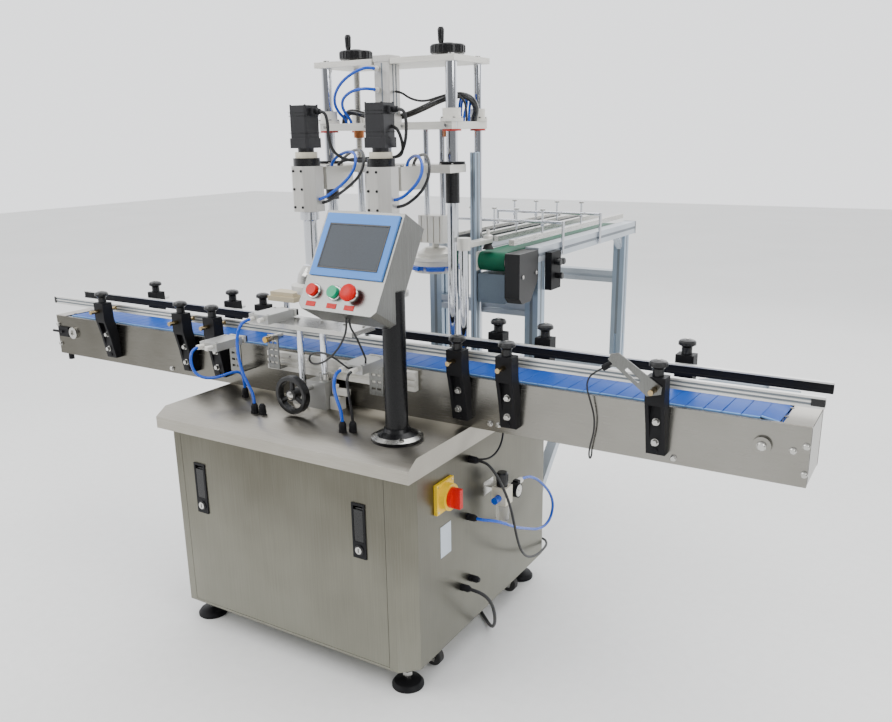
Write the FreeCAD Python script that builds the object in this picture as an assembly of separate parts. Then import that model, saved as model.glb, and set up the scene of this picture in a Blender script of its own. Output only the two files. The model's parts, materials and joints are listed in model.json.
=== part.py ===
# Inline capping machine: cabinet, flat-top chain conveyor, capping gantry and lid feeder.
# Millimetres. +X runs along the conveyor, +Y to the back, +Z up. The floor is z = 0.
import FreeCAD, Part
import math
import os

V = FreeCAD.Vector
X_AXIS = V(1, 0, 0)
Y_AXIS = V(0, 1, 0)
Z_AXIS = V(0, 0, 1)

# ---------------------------------------------------------------- driving dimensions
TABLE_TOP = 622.0          # height of the table top above the floor
TABLE_HALF = 400.0         # half the table's width
TABLE_DEPTH = 741.0        # front edge is y = 0
TABLE_SKIRT = 52.0         # full height of the folded edge
TABLE_BEVEL_Z = 21.0       # height of the sloping front edge
TABLE_BEVEL_Y = 34.0       # depth of the sloping front edge
SHEET = 2.5                # stainless sheet thickness
FIT = 0.3                  # gap between faces of different bodies

CABINET_HALF = 389.0
CABINET_FRONT = 9.0
CABINET_BACK = 732.0
CABINET_BOTTOM = 72.0
CORNER_CUT = 40.0
PANEL_HALF = 324.5
PANEL_BOTTOM = 80.0
PANEL_TOP = 566.0

FOOT_X = 335.0
FOOT_YS = (70.0, 690.0)
FOOT_RADIUS = 40.0
CASTER_X = 352.0
CASTER_YS = (165.0, 585.0)
CASTER_RADIUS = 25.0
CASTER_AXLE_Z = 33.0

BELT_FRONT = 275.0         # front face of the conveyor's front panel
BELT_BACK = 424.0
BELT_LEFT = -1176.0
BELT_RIGHT = 1168.0
PANEL_HEIGHT = 127.0
BELT_TOP = TABLE_TOP + 130.0
CHAIN_THICK = 4.0
CHAIN_FRONT = 289.0
CHAIN_BACK = 410.0
SPROCKET_Z = TABLE_TOP + 76.0
SPROCKET_LEFT = -1092.0
SPROCKET_RIGHT = 1078.0
SPROCKET_RADIUS = 49.5
SHAFT_RADIUS = 10.0
BELT_MID = (BELT_FRONT + BELT_BACK) / 2

BRACKET_XS = (-891.0, -545.0, -419.0, 383.0, 514.0, 866.0)
RAIL_BOTTOM = TABLE_TOP + 163.0
RAIL_TOP = TABLE_TOP + 187.0
RAIL_THICK = 12.0
FRONT_RAIL_Y = 290.0
REAR_RAIL_Y = 405.0
RAIL_LEFT = -1196.0
RAIL_RIGHT = 1184.0
ROD_RADIUS = 6.0
ROD_Z = TABLE_TOP + 175.0

POST_X = 290.0             # post that carries the control box
POST_Y = 121.0
HMI_YAW = -2.8
HMI_LEAN = 30.0

GANTRY_X = -4.0            # centre of the gantry
GANTRY_HALF = 224.0
GANTRY_FRONT = 520.0
GANTRY_BACK = 709.0
POST_FRONT_Y = 545.0
POST_BACK_Y = 684.0
POST_SPACING = 201.0
HEAD_XS = (-130.0, 108.0)  # the two capping heads
TOP_PLATE_Z = TABLE_TOP + 866.0
PLATFORM_Z = TABLE_TOP + 700.0
CARRIER_Z = TABLE_TOP + 590.0

FEEDER_LEFT = 24.0
FEEDER_RIGHT = 378.0
FEEDER_FRONT = 698.0
FEEDER_BACK = 1490.0
FEEDER_TOP = TABLE_TOP + 385.0
BEAM = 40.0

X_SHIFT = 6.0              # moves the outline's centre to the origin
Y_SHIFT = -755.0


LATCH_XS = (-263.0, 252.0)
LATCH_HALF = 19.0
LATCH_BOTTOM = TABLE_TOP - 270.0
LATCH_TOP = TABLE_TOP - 130.0
HMI_WIDTH = 226.0
HMI_HEIGHT = 244.0
HMI_DEPTH = 80.0
HMI_FOOT = (193.0, 32.0, TABLE_TOP + 309.0)   # middle of the face's lower edge
BEZEL = (209.0, 154.0)
BEZEL_LOW = 82.0
BUTTON_HEIGHT = 44.0
STOP_U = -77.0
START_U = -15.0
ESTOP_U = 36.0
SWITCH_Y = 158.0
SWITCH_Z = TABLE_TOP - 137.0
SWITCH_FACE = CABINET_HALF + 26.0
REG_X = 432.0
REG_Y = 384.0
REG_Z = TABLE_TOP - 212.0
TABLE_GLANDS = ((-264, 195), (-142, 102), (-119, 106), (149, 95), (170, 108))
SIDE_GLANDS = ((288, TABLE_TOP - 90), (278, TABLE_TOP - 242), (290, TABLE_TOP - 420), (244, TABLE_TOP - 424))
POST_XS = (GANTRY_X - POST_SPACING, GANTRY_X + POST_SPACING)
FRONT_POST = 15.0
BACK_POST = 11.0
HEAD_Y = BELT_MID
HOUSING_HALF = 40.0
LEAD_XS = (-154.0, 146.0)
LEAD_Y = 615.0
LEAD_LOW = PLATFORM_Z - 110
CYL_X = -4.0
CYL_Y = 548.0
INDEX_X = 92.0
INDEX_Y = 625.0
CLAMP_POST_Y = 234.0
CLAMP_POST_XS = (-89.0, -12.0)
CLAMP_POST = 9.0
ARM_LOW = TABLE_TOP + 217.0
WHEEL_X = -36.0
WHEEL_Y = 132.0
WHEEL_Z = TABLE_TOP + 57.0
JAW_Z = TABLE_TOP + 150.0
SIDE_CLAMPS = {"left": -321.0, "right": 158.0}
CENTRE_JAW_X = -140.0
PIVOT_X = 268.0
PIVOT_Y = 480.0
ARM_Z = TABLE_TOP + 404.0
ARM_REACH = 131.0
BELT_X0 = 242.0
BELT_X1 = 322.0
ROLLER_FRONT_Y = 626.0
ROLLER_BACK_Y = 1462.0
ROLLER_Z = TABLE_TOP + 352.0
ROLLER_RADIUS = 23.7
LEG_BACK_Y = 1390.0
OUTRIGGER_Z = TABLE_TOP - 140.0
LANE_XS = (82.0, 160.0, 234.0, 318.0)
HOLD_YS = (850.0, 1140.0)
MAINS_DIAMETER = 9.0
HOSE_DIAMETER = 8.0
REAR_CABLE_DIAMETER = 7.0
SENSOR_CABLE_DIAMETER = 4.0
COIL_CENTRE = (130.0, 870.0)
COIL_OUTER = 64.0
COIL_INNER = 36.0
COIL_HEIGHT = 27.0
PLUG_RADIUS = 19.0
GLAND_NOSE = CABINET_HALF + 27.0
MAINS_ROUTE = [(GLAND_NOSE, 244, 198), (438, 245, 197), (456, 254, 184), (463, 268, 160), (461, 286, 128),
               (452, 308, 92), (437, 334, 56), (416, 362, 26), (392, 390, 9), (362, 420, 5.0),
               (326, 452, 5.0), (288, 490, 5.0), (254, 540, 5.0), (226, 602, 5.0), (204, 668, 5.0),
               (190, 736, 5.0), (182, 790, 5.0), (180, COIL_CENTRE[1] - 37, 5.0)]
REGULATOR_ROUTE = [(REG_X + 12, REG_Y + 84, REG_Z + 12), (444, 500, 420), (445, 556, 396), (446, 610, 356),
                   (447, 656, 312), (447, 680, 268), (447, 664, 232), (447, 622, 222), (446, 570, 234),
                   (446, 510, 262), (450, 446, 292), (456, 392, 322), (460, 344, 350), (458, 312, 368),
                   (448, 290, 378), (434, 279, 380), (GLAND_NOSE, 278, 380)]
ARM_HOSE_ROUTE = [(-158, 123.6, ARM_LOW + 24), (-158, 104, ARM_LOW + 24), (-160, 88, ARM_LOW + 10),
                  (-163, 80, ARM_LOW - 18), (-163, 80, ARM_LOW - 60), (-158, 84, ARM_LOW - 104),
                  (-150, 94, ARM_LOW - 140), (-142, 102, ARM_LOW - 168), (-142, 102.2, TABLE_TOP + 27)]
REAR_CABLE_ROUTE = [(416, 288, 532), (434, 288, 532), (452, 291, 518), (465, 304, 486), (472, 328, 440),
                    (475, 350, 392), (475, 368, 346), (471, 392, 296), (462, 430, 244), (449, 482, 196),
                    (435, 548, 154), (423, 620, 124), (412, 686, 108), (404, 734, 102), (388, 764, 101),
                    (366, 770, 102), (354, 754, 103), (351, CABINET_BACK, 103)]
SENSOR_ROUTE = [(744, 250, TABLE_TOP + 200), (728, 250, 812), (711, 252, 797), (704, 257, 772),
                (712, 263, 740), (722, 266, 704), (722, 267, 668), (715, 266, 638), (712, 265, 616),
                (712, 270, 601), (712, 279, 600), (713, 281.5, 609), (713, 281, TABLE_TOP)]


# ---------------------------------------------------------------- small helpers
def box(x0, x1, y0, y1, z0, z1):
    """A box between two corners."""
    return Part.makeBox(x1 - x0, y1 - y0, z1 - z0, V(x0, y0, z0))


def rod(radius, start, end):
    """A round bar from start to end."""
    axis = V(*end) - V(*start)
    return Part.makeCylinder(radius, axis.Length, V(*start), axis)


def tube(outer, inner, start, end):
    """A round tube from start to end."""
    return rod(outer, start, end).cut(rod(inner, start, end))


def prism_z(points, z0, z1):
    """A plan outline raised from z0 to z1."""
    face = Part.Face(Part.makePolygon([V(x, y, z0) for x, y in points + points[:1]]))
    return face.extrude(V(0, 0, z1 - z0))


def prism_x(points, x0, x1):
    """A side outline, given as (y, z), carried from x0 to x1."""
    face = Part.Face(Part.makePolygon([V(x0, y, z) for y, z in points + points[:1]]))
    return face.extrude(V(x1 - x0, 0, 0))


def prism_y(points, y0, y1):
    """A front outline, given as (x, z), carried from y0 to y1."""
    face = Part.Face(Part.makePolygon([V(x, y0, z) for x, z in points + points[:1]]))
    return face.extrude(V(0, y1 - y0, 0))


def turned(profile, centre, axis=Z_AXIS):
    """A solid of revolution: profile is (radius, height) about axis, closed on the axis."""
    points = [V(r, 0, h) for r, h in profile]
    face = Part.Face(Part.makePolygon(points + points[:1]))
    solid = face.revolve(V(0, 0, 0), Z_AXIS, 360)
    solid.Placement = FreeCAD.Placement(V(*centre), FreeCAD.Rotation(Z_AXIS, axis))
    return solid


def hexagon(radius, start, end):
    """A hexagonal bolt head or nut between two points."""
    axis = V(*end) - V(*start)
    corners = [V(radius * math.cos(math.radians(60 * i)), radius * math.sin(math.radians(60 * i)), 0)
               for i in range(6)]
    solid = Part.Face(Part.makePolygon(corners + corners[:1])).extrude(V(0, 0, axis.Length))
    solid.Placement = FreeCAD.Placement(V(*start), FreeCAD.Rotation(Z_AXIS, axis))
    return solid


def fused(shapes):
    """Joins shapes into one solid."""
    result = shapes[0].multiFuse(shapes[1:]) if len(shapes) > 1 else shapes[0]
    return result.removeSplitter()


def group(shapes):
    """Separate solids kept together in one node."""
    solids = []
    for shape in shapes:
        solids.extend(shape.Solids)
    return Part.makeCompound(solids)


def save(name, shape):
    """Writes one node, moved so that the machine's outline is centred on the origin."""
    moved = shape.copy()
    moved.translate(V(X_SHIFT, Y_SHIFT, 0))
    moved.exportStep("parts/%s.step" % name)
    box_ = moved.BoundBox
    print("%-22s solids %3d  volume %9.1f cm3  x %7.1f %7.1f  y %7.1f %7.1f  z %7.1f %7.1f %s" % (
        name, len(moved.Solids), moved.Volume / 1000, box_.XMin, box_.XMax,
        box_.YMin, box_.YMax, box_.ZMin, box_.ZMax, "" if moved.isValid() else "INVALID"))


# ---------------------------------------------------------------- cabinet
def cabinet_outline(inset):
    """Plan of the cabinet with its two front corners cut at 45 degrees."""
    half = CABINET_HALF - inset
    front = CABINET_FRONT + inset
    back = CABINET_BACK - inset
    cut = CORNER_CUT - inset * 0.586
    return [(-half, front + cut), (-half + cut, front), (half - cut, front),
            (half, front + cut), (half, back), (-half, back)]


def cabinet_shell():
    """Folded sheet cabinet, open at the front behind the panel and at the top."""
    top = TABLE_TOP - SHEET
    outer = prism_z(cabinet_outline(0), CABINET_BOTTOM, top)
    inner = prism_z(cabinet_outline(SHEET), CABINET_BOTTOM + SHEET, top)
    shell = outer.cut(inner)
    opening = box(-PANEL_HALF - 1, PANEL_HALF + 1, 0, 40, PANEL_BOTTOM - 1, PANEL_TOP + 1)
    shelf = box(-CABINET_HALF + SHEET, CABINET_HALF - SHEET, 60, CABINET_BACK - SHEET,
                CABINET_BOTTOM + 240, CABINET_BOTTOM + 240 + SHEET)
    knee = TABLE_TOP - TABLE_BEVEL_Z
    above_bevel = prism_x([(-1, knee - 4), (SHEET, knee - 1.2), (TABLE_BEVEL_Y + 0.8, top),
                           (TABLE_BEVEL_Y + 0.8, TABLE_TOP), (-1, TABLE_TOP)], -TABLE_HALF, TABLE_HALF)
    return fused([shell.cut(opening).cut(above_bevel), shelf])


def tabletop():
    """Folded pan that caps the cabinet, with a sloping front edge."""
    low = TABLE_TOP - TABLE_SKIRT
    knee = TABLE_TOP - TABLE_BEVEL_Z
    outer = prism_x([(0, low), (0, knee), (TABLE_BEVEL_Y, TABLE_TOP), (TABLE_DEPTH, TABLE_TOP),
                     (TABLE_DEPTH, low)], -TABLE_HALF, TABLE_HALF)
    under = TABLE_TOP - SHEET
    inner = prism_x([(SHEET, low - 1), (SHEET, knee - 1.2), (TABLE_BEVEL_Y + 0.8, under),
                     (TABLE_DEPTH - SHEET, under), (TABLE_DEPTH - SHEET, low - 1)],
                    -TABLE_HALF + SHEET, TABLE_HALF - SHEET)
    pan = outer.cut(inner)
    return pan


def access_panel():
    """Front panel folded as a shallow pan, with the two black latch housings in it."""
    depth = 18.0
    outer = box(-PANEL_HALF, PANEL_HALF, CABINET_FRONT, CABINET_FRONT + depth, PANEL_BOTTOM, PANEL_TOP)
    inner = box(-PANEL_HALF + SHEET, PANEL_HALF - SHEET, CABINET_FRONT + SHEET, CABINET_FRONT + depth + 1,
                PANEL_BOTTOM + SHEET, PANEL_TOP - SHEET)
    pan = outer.cut(inner)
    housings = []
    for x in LATCH_XS:
        pan = pan.cut(box(x - LATCH_HALF, x + LATCH_HALF, 0, 60, LATCH_BOTTOM, LATCH_TOP))
        housings.append(latch_housing(x))
    return group([pan] + housings)


def latch_housing(x):
    """Moulded latch cup: a rim on the panel face and a cup that the handle lies in."""
    rim = box(x - LATCH_HALF, x + LATCH_HALF, CABINET_FRONT - 3, CABINET_FRONT + 24,
              LATCH_BOTTOM, LATCH_TOP)
    cup = box(x - LATCH_HALF + 5, x + LATCH_HALF - 5, CABINET_FRONT - 4, CABINET_FRONT + 20,
              LATCH_BOTTOM + 42, LATCH_TOP - 6)
    lock = rod(9, (x, CABINET_FRONT - 8, LATCH_BOTTOM + 22), (x, CABINET_FRONT, LATCH_BOTTOM + 22))
    return fused([rim.cut(cup), lock])


def latch_handle(x):
    """Paddle handle that swings out of its cup about a pin at its top."""
    paddle = box(x - LATCH_HALF + 6, x + LATCH_HALF - 6, CABINET_FRONT - 2.5, CABINET_FRONT + 5,
                 LATCH_BOTTOM + 43, LATCH_TOP - 16)
    barrel = rod(4, (x - LATCH_HALF + 6, CABINET_FRONT + 6, LATCH_TOP - 16),
                 (x + LATCH_HALF - 6, CABINET_FRONT + 6, LATCH_TOP - 16))
    return fused([paddle, barrel])


def levelling_feet():
    """Four screw feet with round pads."""
    feet = []
    for x in (-FOOT_X, FOOT_X):
        for y in FOOT_YS:
            pad = turned([(0, 0), (FOOT_RADIUS, 0), (FOOT_RADIUS, 6), (FOOT_RADIUS - 6, 14),
                          (12, 20), (0, 20)], (x, y, 0))
            stem = rod(7, (x, y, 20), (x, y, CABINET_BOTTOM))
            nut = hexagon(13, (x, y, 30), (x, y, 40))
            feet.append(fused([pad, stem, nut]))
    return group(feet)


def caster_forks():
    """Four forks bolted under the cabinet, each with two cheeks and an axle."""
    forks = []
    for x in (-CASTER_X, CASTER_X):
        for y in CASTER_YS:
            plate = box(x - 24, x + 24, y - 24, y + 24, CABINET_BOTTOM - 4, CABINET_BOTTOM)
            outline = [(x - 22, CABINET_BOTTOM - 4), (x + 22, CABINET_BOTTOM - 4),
                       (x + 9, CASTER_AXLE_Z - 8), (x - 9, CASTER_AXLE_Z - 8)]
            cheeks = [prism_y(outline, y - 16, y - 13), prism_y(outline, y + 13, y + 16)]
            axle = rod(4, (x, y - 19, CASTER_AXLE_Z), (x, y + 19, CASTER_AXLE_Z))
            forks.append(fused([plate] + cheeks + [axle]))
    return group(forks)


def caster_wheel(x, y):
    """Black caster wheel that turns on its axle."""
    tread = turned([(4.05, -12), (9, -12), (10, -10), (CASTER_RADIUS - 2, -10), (CASTER_RADIUS, -8),
                    (CASTER_RADIUS, 8), (CASTER_RADIUS - 2, 10), (10, 10), (9, 12), (4.05, 12)],
                   (x, y, CASTER_AXLE_Z), Y_AXIS)
    return tread


# ---------------------------------------------------------------- conveyor
def conveyor_panels():
    """Front and rear side panels with their joined sections, wear strips and cross bars."""
    shapes = []
    low = TABLE_TOP
    high = TABLE_TOP + PANEL_HEIGHT
    for y, inward in ((BELT_FRONT, 1), (BELT_BACK, -1)):
        face = sorted((y, y + inward * SHEET))
        lip = sorted((y, y + inward * 11.0))
        web = box(BELT_LEFT, BELT_RIGHT, face[0], face[1], low, high)
        top_lip = box(BELT_LEFT, BELT_RIGHT, lip[0], lip[1], high - SHEET, high)
        foot_lip = box(BELT_LEFT, BELT_RIGHT, lip[0], lip[1], low, low + SHEET)
        panel = fused([web, top_lip, foot_lip])
        for x in (SPROCKET_LEFT, SPROCKET_RIGHT):
            panel = panel.cut(rod(SHAFT_RADIUS + 0.05, (x, y - 20, SPROCKET_Z), (x, y + 20, SPROCKET_Z)))
        shapes.append(panel)
    for y in (303.0, 396.0):
        shapes.append(box(SPROCKET_LEFT + 40, SPROCKET_RIGHT - 40, y - 6, y + 6,
                          BELT_TOP - CHAIN_THICK - 10, BELT_TOP - CHAIN_THICK - FIT))
    inner_front = BELT_FRONT + SHEET
    inner_back = BELT_BACK - SHEET
    for i in range(7):
        x = SPROCKET_LEFT + 130 + i * 318
        shapes.append(box(x - 15, x + 15, inner_front, inner_back,
                          BELT_TOP - CHAIN_THICK - 40, BELT_TOP - CHAIN_THICK - 10))
    return group(shapes)


def stadium(radius, y0, y1):
    """A belt-shaped block round both sprockets at this radius."""
    left = rod(radius, (SPROCKET_LEFT, y0, SPROCKET_Z), (SPROCKET_LEFT, y1, SPROCKET_Z))
    right = rod(radius, (SPROCKET_RIGHT, y0, SPROCKET_Z), (SPROCKET_RIGHT, y1, SPROCKET_Z))
    middle = box(SPROCKET_LEFT, SPROCKET_RIGHT, y0, y1, SPROCKET_Z - radius, SPROCKET_Z + radius)
    return fused([left, right, middle])


def conveyor_chain():
    """Flat-top chain loop."""
    outer_radius = BELT_TOP - SPROCKET_Z
    outer = stadium(outer_radius, CHAIN_FRONT, CHAIN_BACK)
    inner = stadium(outer_radius - CHAIN_THICK, CHAIN_FRONT - 1, CHAIN_BACK + 1)
    return outer.cut(inner)


def sprocket_shaft(x, back_end):
    """Shaft with two toothed sprockets that carry the chain."""
    shapes = [rod(SHAFT_RADIUS, (x, BELT_FRONT - 3, SPROCKET_Z), (x, back_end, SPROCKET_Z))]
    for y in (320.0, 362.0):
        wheel = rod(SPROCKET_RADIUS, (x, y, SPROCKET_Z), (x, y + 18, SPROCKET_Z))
        for i in range(10):
            angle = math.radians(36 * i)
            notch_x = x + (SPROCKET_RADIUS + 1) * math.cos(angle)
            notch_z = SPROCKET_Z + (SPROCKET_RADIUS + 1) * math.sin(angle)
            wheel = wheel.cut(rod(6, (notch_x, y - 1, notch_z), (notch_x, y + 19, notch_z)))
        shapes.append(wheel)
    return fused(shapes)


def conveyor_ends():
    """End closing plates, top cover plates, bearing rings, tensioner plates and end feet."""
    shapes = []
    high = TABLE_TOP + PANEL_HEIGHT
    inner = (BELT_FRONT + SHEET, BELT_BACK - SHEET)
    for x0, x1 in ((BELT_LEFT, BELT_LEFT + SHEET), (BELT_RIGHT - SHEET, BELT_RIGHT)):
        shapes.append(box(x0, x1, inner[0] + 9, inner[1] - 9, TABLE_TOP + 3, high - 3.2))
    shapes.append(box(SPROCKET_RIGHT + 36, BELT_RIGHT, BELT_FRONT, BELT_BACK, high, high + 2))
    shapes.append(box(BELT_LEFT, SPROCKET_LEFT - 36, BELT_FRONT, BELT_BACK, high, high + 2))
    for x in (SPROCKET_LEFT, SPROCKET_RIGHT):
        for y0, y1 in ((BELT_FRONT - 8, BELT_FRONT), (BELT_BACK, BELT_BACK + 8)):
            shapes.append(tube(19, SHAFT_RADIUS + 0.05, (x, y0, SPROCKET_Z), (x, y1, SPROCKET_Z)))
    for y0, y1, screw in ((BELT_FRONT - 6, BELT_FRONT, -5), (BELT_BACK, BELT_BACK + 6, 5)):
        plate = box(BELT_LEFT + 10, SPROCKET_LEFT - 24, y0, y1, SPROCKET_Z - 16, SPROCKET_Z + 16)
        middle = (y0 + y1) / 2
        bolt = rod(4, (BELT_LEFT - 14, middle + screw, SPROCKET_Z),
                   (BELT_LEFT + 34, middle + screw, SPROCKET_Z))
        shapes.append(fused([plate, bolt]))
    for y in (BELT_FRONT + 12, BELT_BACK - 12):
        shapes.append(rod(9, (BELT_LEFT + 34, y, TABLE_TOP - 20), (BELT_LEFT + 34, y, TABLE_TOP)))
    return group(shapes)


def conveyor_gearmotor():
    """Worm gearbox and motor behind the driven end."""
    gearbox = box(SPROCKET_RIGHT - 34, SPROCKET_RIGHT + 34, BELT_BACK + 9, BELT_BACK + 62,
                  SPROCKET_Z - 36, SPROCKET_Z + 62)
    gearbox = gearbox.cut(rod(SHAFT_RADIUS + 0.05, (SPROCKET_RIGHT, BELT_BACK, SPROCKET_Z),
                              (SPROCKET_RIGHT, BELT_BACK + 90, SPROCKET_Z)))
    motor_z = SPROCKET_Z + 34
    motor = turned([(0, 0), (38, 0), (38, 6), (34, 8), (34, 128), (31, 150), (0, 150)],
                   (SPROCKET_RIGHT - 34, BELT_BACK + 43, motor_z), V(-1, 0, 0))
    return fused([gearbox, motor])


def bracket_profile(sign, face):
    """Side outline of a guide bracket: foot on the panel, leg leaning out, head on top."""
    depth_and_height = [(0, 22), (0, 100), (11, 150), (13, 200), (47, 200), (47, 148), (32, 90), (19, 22)]
    return [(face + sign * d, TABLE_TOP + h) for d, h in depth_and_height]


def rail_brackets():
    """Black moulded brackets along both panels, each bored for its rod."""
    brackets = []
    for sign, face in ((-1, BELT_FRONT), (1, BELT_BACK)):
        for x in BRACKET_XS:
            body = prism_x(bracket_profile(sign, face), x - 21, x + 21)
            hollow_near = face + sign * 26
            hollow_far = face + sign * 60
            hollow = box(x - 13, x + 13, min(hollow_near, hollow_far), max(hollow_near, hollow_far),
                         TABLE_TOP + 40, TABLE_TOP + 138)
            bore = rod(ROD_RADIUS + 0.05, (x, face - 80, ROD_Z), (x, face + 80, ROD_Z))
            screw = rod(5, (x, face + sign * 30, TABLE_TOP + 196), (x, face + sign * 30, TABLE_TOP + 240))
            bolt_y = face + sign * 19
            body = body.cut(hollow).cut(bore).cut(screw)
            bolt = hexagon(6, (x, bolt_y, TABLE_TOP + 32), (x, bolt_y + sign * 5, TABLE_TOP + 32))
            brackets.extend([body, bolt])
    return group(brackets)


def rail_knobs():
    """Mushroom clamping knobs on top of the bracket heads."""
    knobs = []
    profile = [(0, -2), (4.9, -2), (4.9, 0.2), (12, 0.2), (12, 16), (16, 20), (20, 22), (20, 28),
               (17, 32), (9, 34.5), (0, 35)]
    for sign, face in ((-1, BELT_FRONT), (1, BELT_BACK)):
        for x in BRACKET_XS:
            knobs.append(turned(profile, (x, face + sign * 30, TABLE_TOP + 200)))
    return group(knobs)


def guide_rail(y, outward, bracket_face):
    """Guide rail with its sliding rods, which run through the bracket heads."""
    bar = box(RAIL_LEFT, RAIL_RIGHT, y, y + RAIL_THICK, RAIL_BOTTOM, RAIL_TOP)
    near = y if outward < 0 else y + RAIL_THICK
    far = bracket_face + outward * 78
    rods = []
    for x in BRACKET_XS:
        rods.append(rod(ROD_RADIUS, (x, near, ROD_Z), (x, far, ROD_Z)))
    return group([bar] + rods)


# ---------------------------------------------------------------- control box on its post
def on_face(shape):
    """Carries a shape drawn flat (x across, y up the face, z out of it) onto the leaning face."""
    lean = FreeCAD.Rotation(X_AXIS, 90 - HMI_LEAN)
    yaw = FreeCAD.Rotation(Z_AXIS, HMI_YAW)
    placed = shape.copy()
    placed.Placement = FreeCAD.Placement(V(*HMI_FOOT), yaw.multiply(lean))
    return placed


def hmi_solid():
    """Closed form of the control box, with its two lower corners cut."""
    half = HMI_WIDTH / 2
    outline = [(-half + 12, 0), (half - 12, 0), (half, 12), (half, HMI_HEIGHT), (-half, HMI_HEIGHT),
               (-half, 12)]
    block = prism_z(outline, -HMI_DEPTH, 0)
    return block


def hmi_box():
    """Stainless control box with bored seats for the three buttons."""
    block = hmi_solid()
    inner = box(-HMI_WIDTH / 2 + SHEET, HMI_WIDTH / 2 - SHEET, 12, HMI_HEIGHT - SHEET,
                -HMI_DEPTH + SHEET, -SHEET)
    block = block.cut(inner)
    for u in (STOP_U, START_U, ESTOP_U):
        block = block.cut(rod(11.5, (u, BUTTON_HEIGHT, -10), (u, BUTTON_HEIGHT, 1)))
    window = box(-BEZEL[0] / 2 + 12, BEZEL[0] / 2 - 12, BEZEL_LOW + 12, BEZEL_LOW + BEZEL[1] - 12,
                 -SHEET - 1, 1)
    return on_face(block.cut(window))


def hmi_bezel():
    """Touch panel unit: front frame and the body behind it."""
    half = BEZEL[0] / 2
    frame = box(-half, half, BEZEL_LOW, BEZEL_LOW + BEZEL[1], 0, 5)
    body = box(-half + 13, half - 13, BEZEL_LOW + 13, BEZEL_LOW + BEZEL[1] - 13, -40, 0)
    return on_face(fused([frame, body]))


def push_button(u, cap_radius, cap_height, stem_out):
    """Button: a cap outside the face and a stem that slides in the bored seat."""
    cap = rod(cap_radius, (u, BUTTON_HEIGHT, stem_out), (u, BUTTON_HEIGHT, stem_out + cap_height))
    stem = rod(8, (u, BUTTON_HEIGHT, -8), (u, BUTTON_HEIGHT, stem_out))
    return on_face(fused([cap, stem]))


def hmi_post():
    """Black post on a bolted flange, cut to sit under and behind the box."""
    flange = turned([(0, 0), (62, 0), (62, 8), (50, 14), (34, 22), (30, 30), (0, 30)],
                    (POST_X, POST_Y, TABLE_TOP))
    stem = rod(27, (POST_X, POST_Y, TABLE_TOP), (POST_X, POST_Y, TABLE_TOP + 352))
    post = fused([flange, stem]).cut(on_face(hmi_solid()))
    solids = sorted(post.Solids, key=lambda solid: solid.Volume)
    post = solids[-1]
    bolts = []
    for i in range(4):
        angle = math.radians(45 + 90 * i)
        x = POST_X + 52 * math.cos(angle)
        y = POST_Y + 52 * math.sin(angle)
        post = post.cut(rod(6.5, (x, y, TABLE_TOP + 8), (x, y, TABLE_TOP + 40)))
        bolts.append(rod(5.5, (x, y, TABLE_TOP + 8), (x, y, TABLE_TOP + 14)))
    return group([post] + bolts)


# ---------------------------------------------------------------- right side of the cabinet
def main_switch_plate():
    """Yellow back plate and collar of the main switch."""
    plate = box(CABINET_HALF, CABINET_HALF + 9, SWITCH_Y - 38, SWITCH_Y + 38, SWITCH_Z - 38, SWITCH_Z + 38)
    collar = rod(33, (CABINET_HALF + 9, SWITCH_Y, SWITCH_Z), (SWITCH_FACE, SWITCH_Y, SWITCH_Z))
    seat = rod(8.05, (CABINET_HALF + 1, SWITCH_Y, SWITCH_Z), (SWITCH_FACE + 1, SWITCH_Y, SWITCH_Z))
    return fused([plate, collar]).cut(seat)


def main_switch_knob():
    """Red rotary knob with a raised grip bar."""
    face = SWITCH_FACE + FIT
    disc = rod(25, (face, SWITCH_Y, SWITCH_Z), (face + 9, SWITCH_Y, SWITCH_Z))
    grip = box(face + 9, face + 26, SWITCH_Y - 7, SWITCH_Y + 7, SWITCH_Z - 24, SWITCH_Z + 24)
    stem = rod(8, (CABINET_HALF + 2, SWITCH_Y, SWITCH_Z), (face, SWITCH_Y, SWITCH_Z))
    return fused([disc, grip, stem])


def gland(point, axis, radius=9.0):
    """Cable gland: a hexagon body and a tapered cap with a rounded nose."""
    length = V(*axis)
    base = hexagon(radius * 1.15, point, tuple(V(*point) + length * 8))
    cap = turned([(0, 8), (radius, 8), (radius, 20), (radius * 0.62, 27), (0, 27)], point, length)
    return fused([base, cap])


def cable_glands():
    """Cable glands in the table top and in the cabinet's right side."""
    glands = [gland((x, y, TABLE_TOP), (0, 0, 1)) for x, y in TABLE_GLANDS]
    glands += [gland((CABINET_HALF, y, z), (1, 0, 0)) for y, z in SIDE_GLANDS]
    return group(glands)


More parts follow.
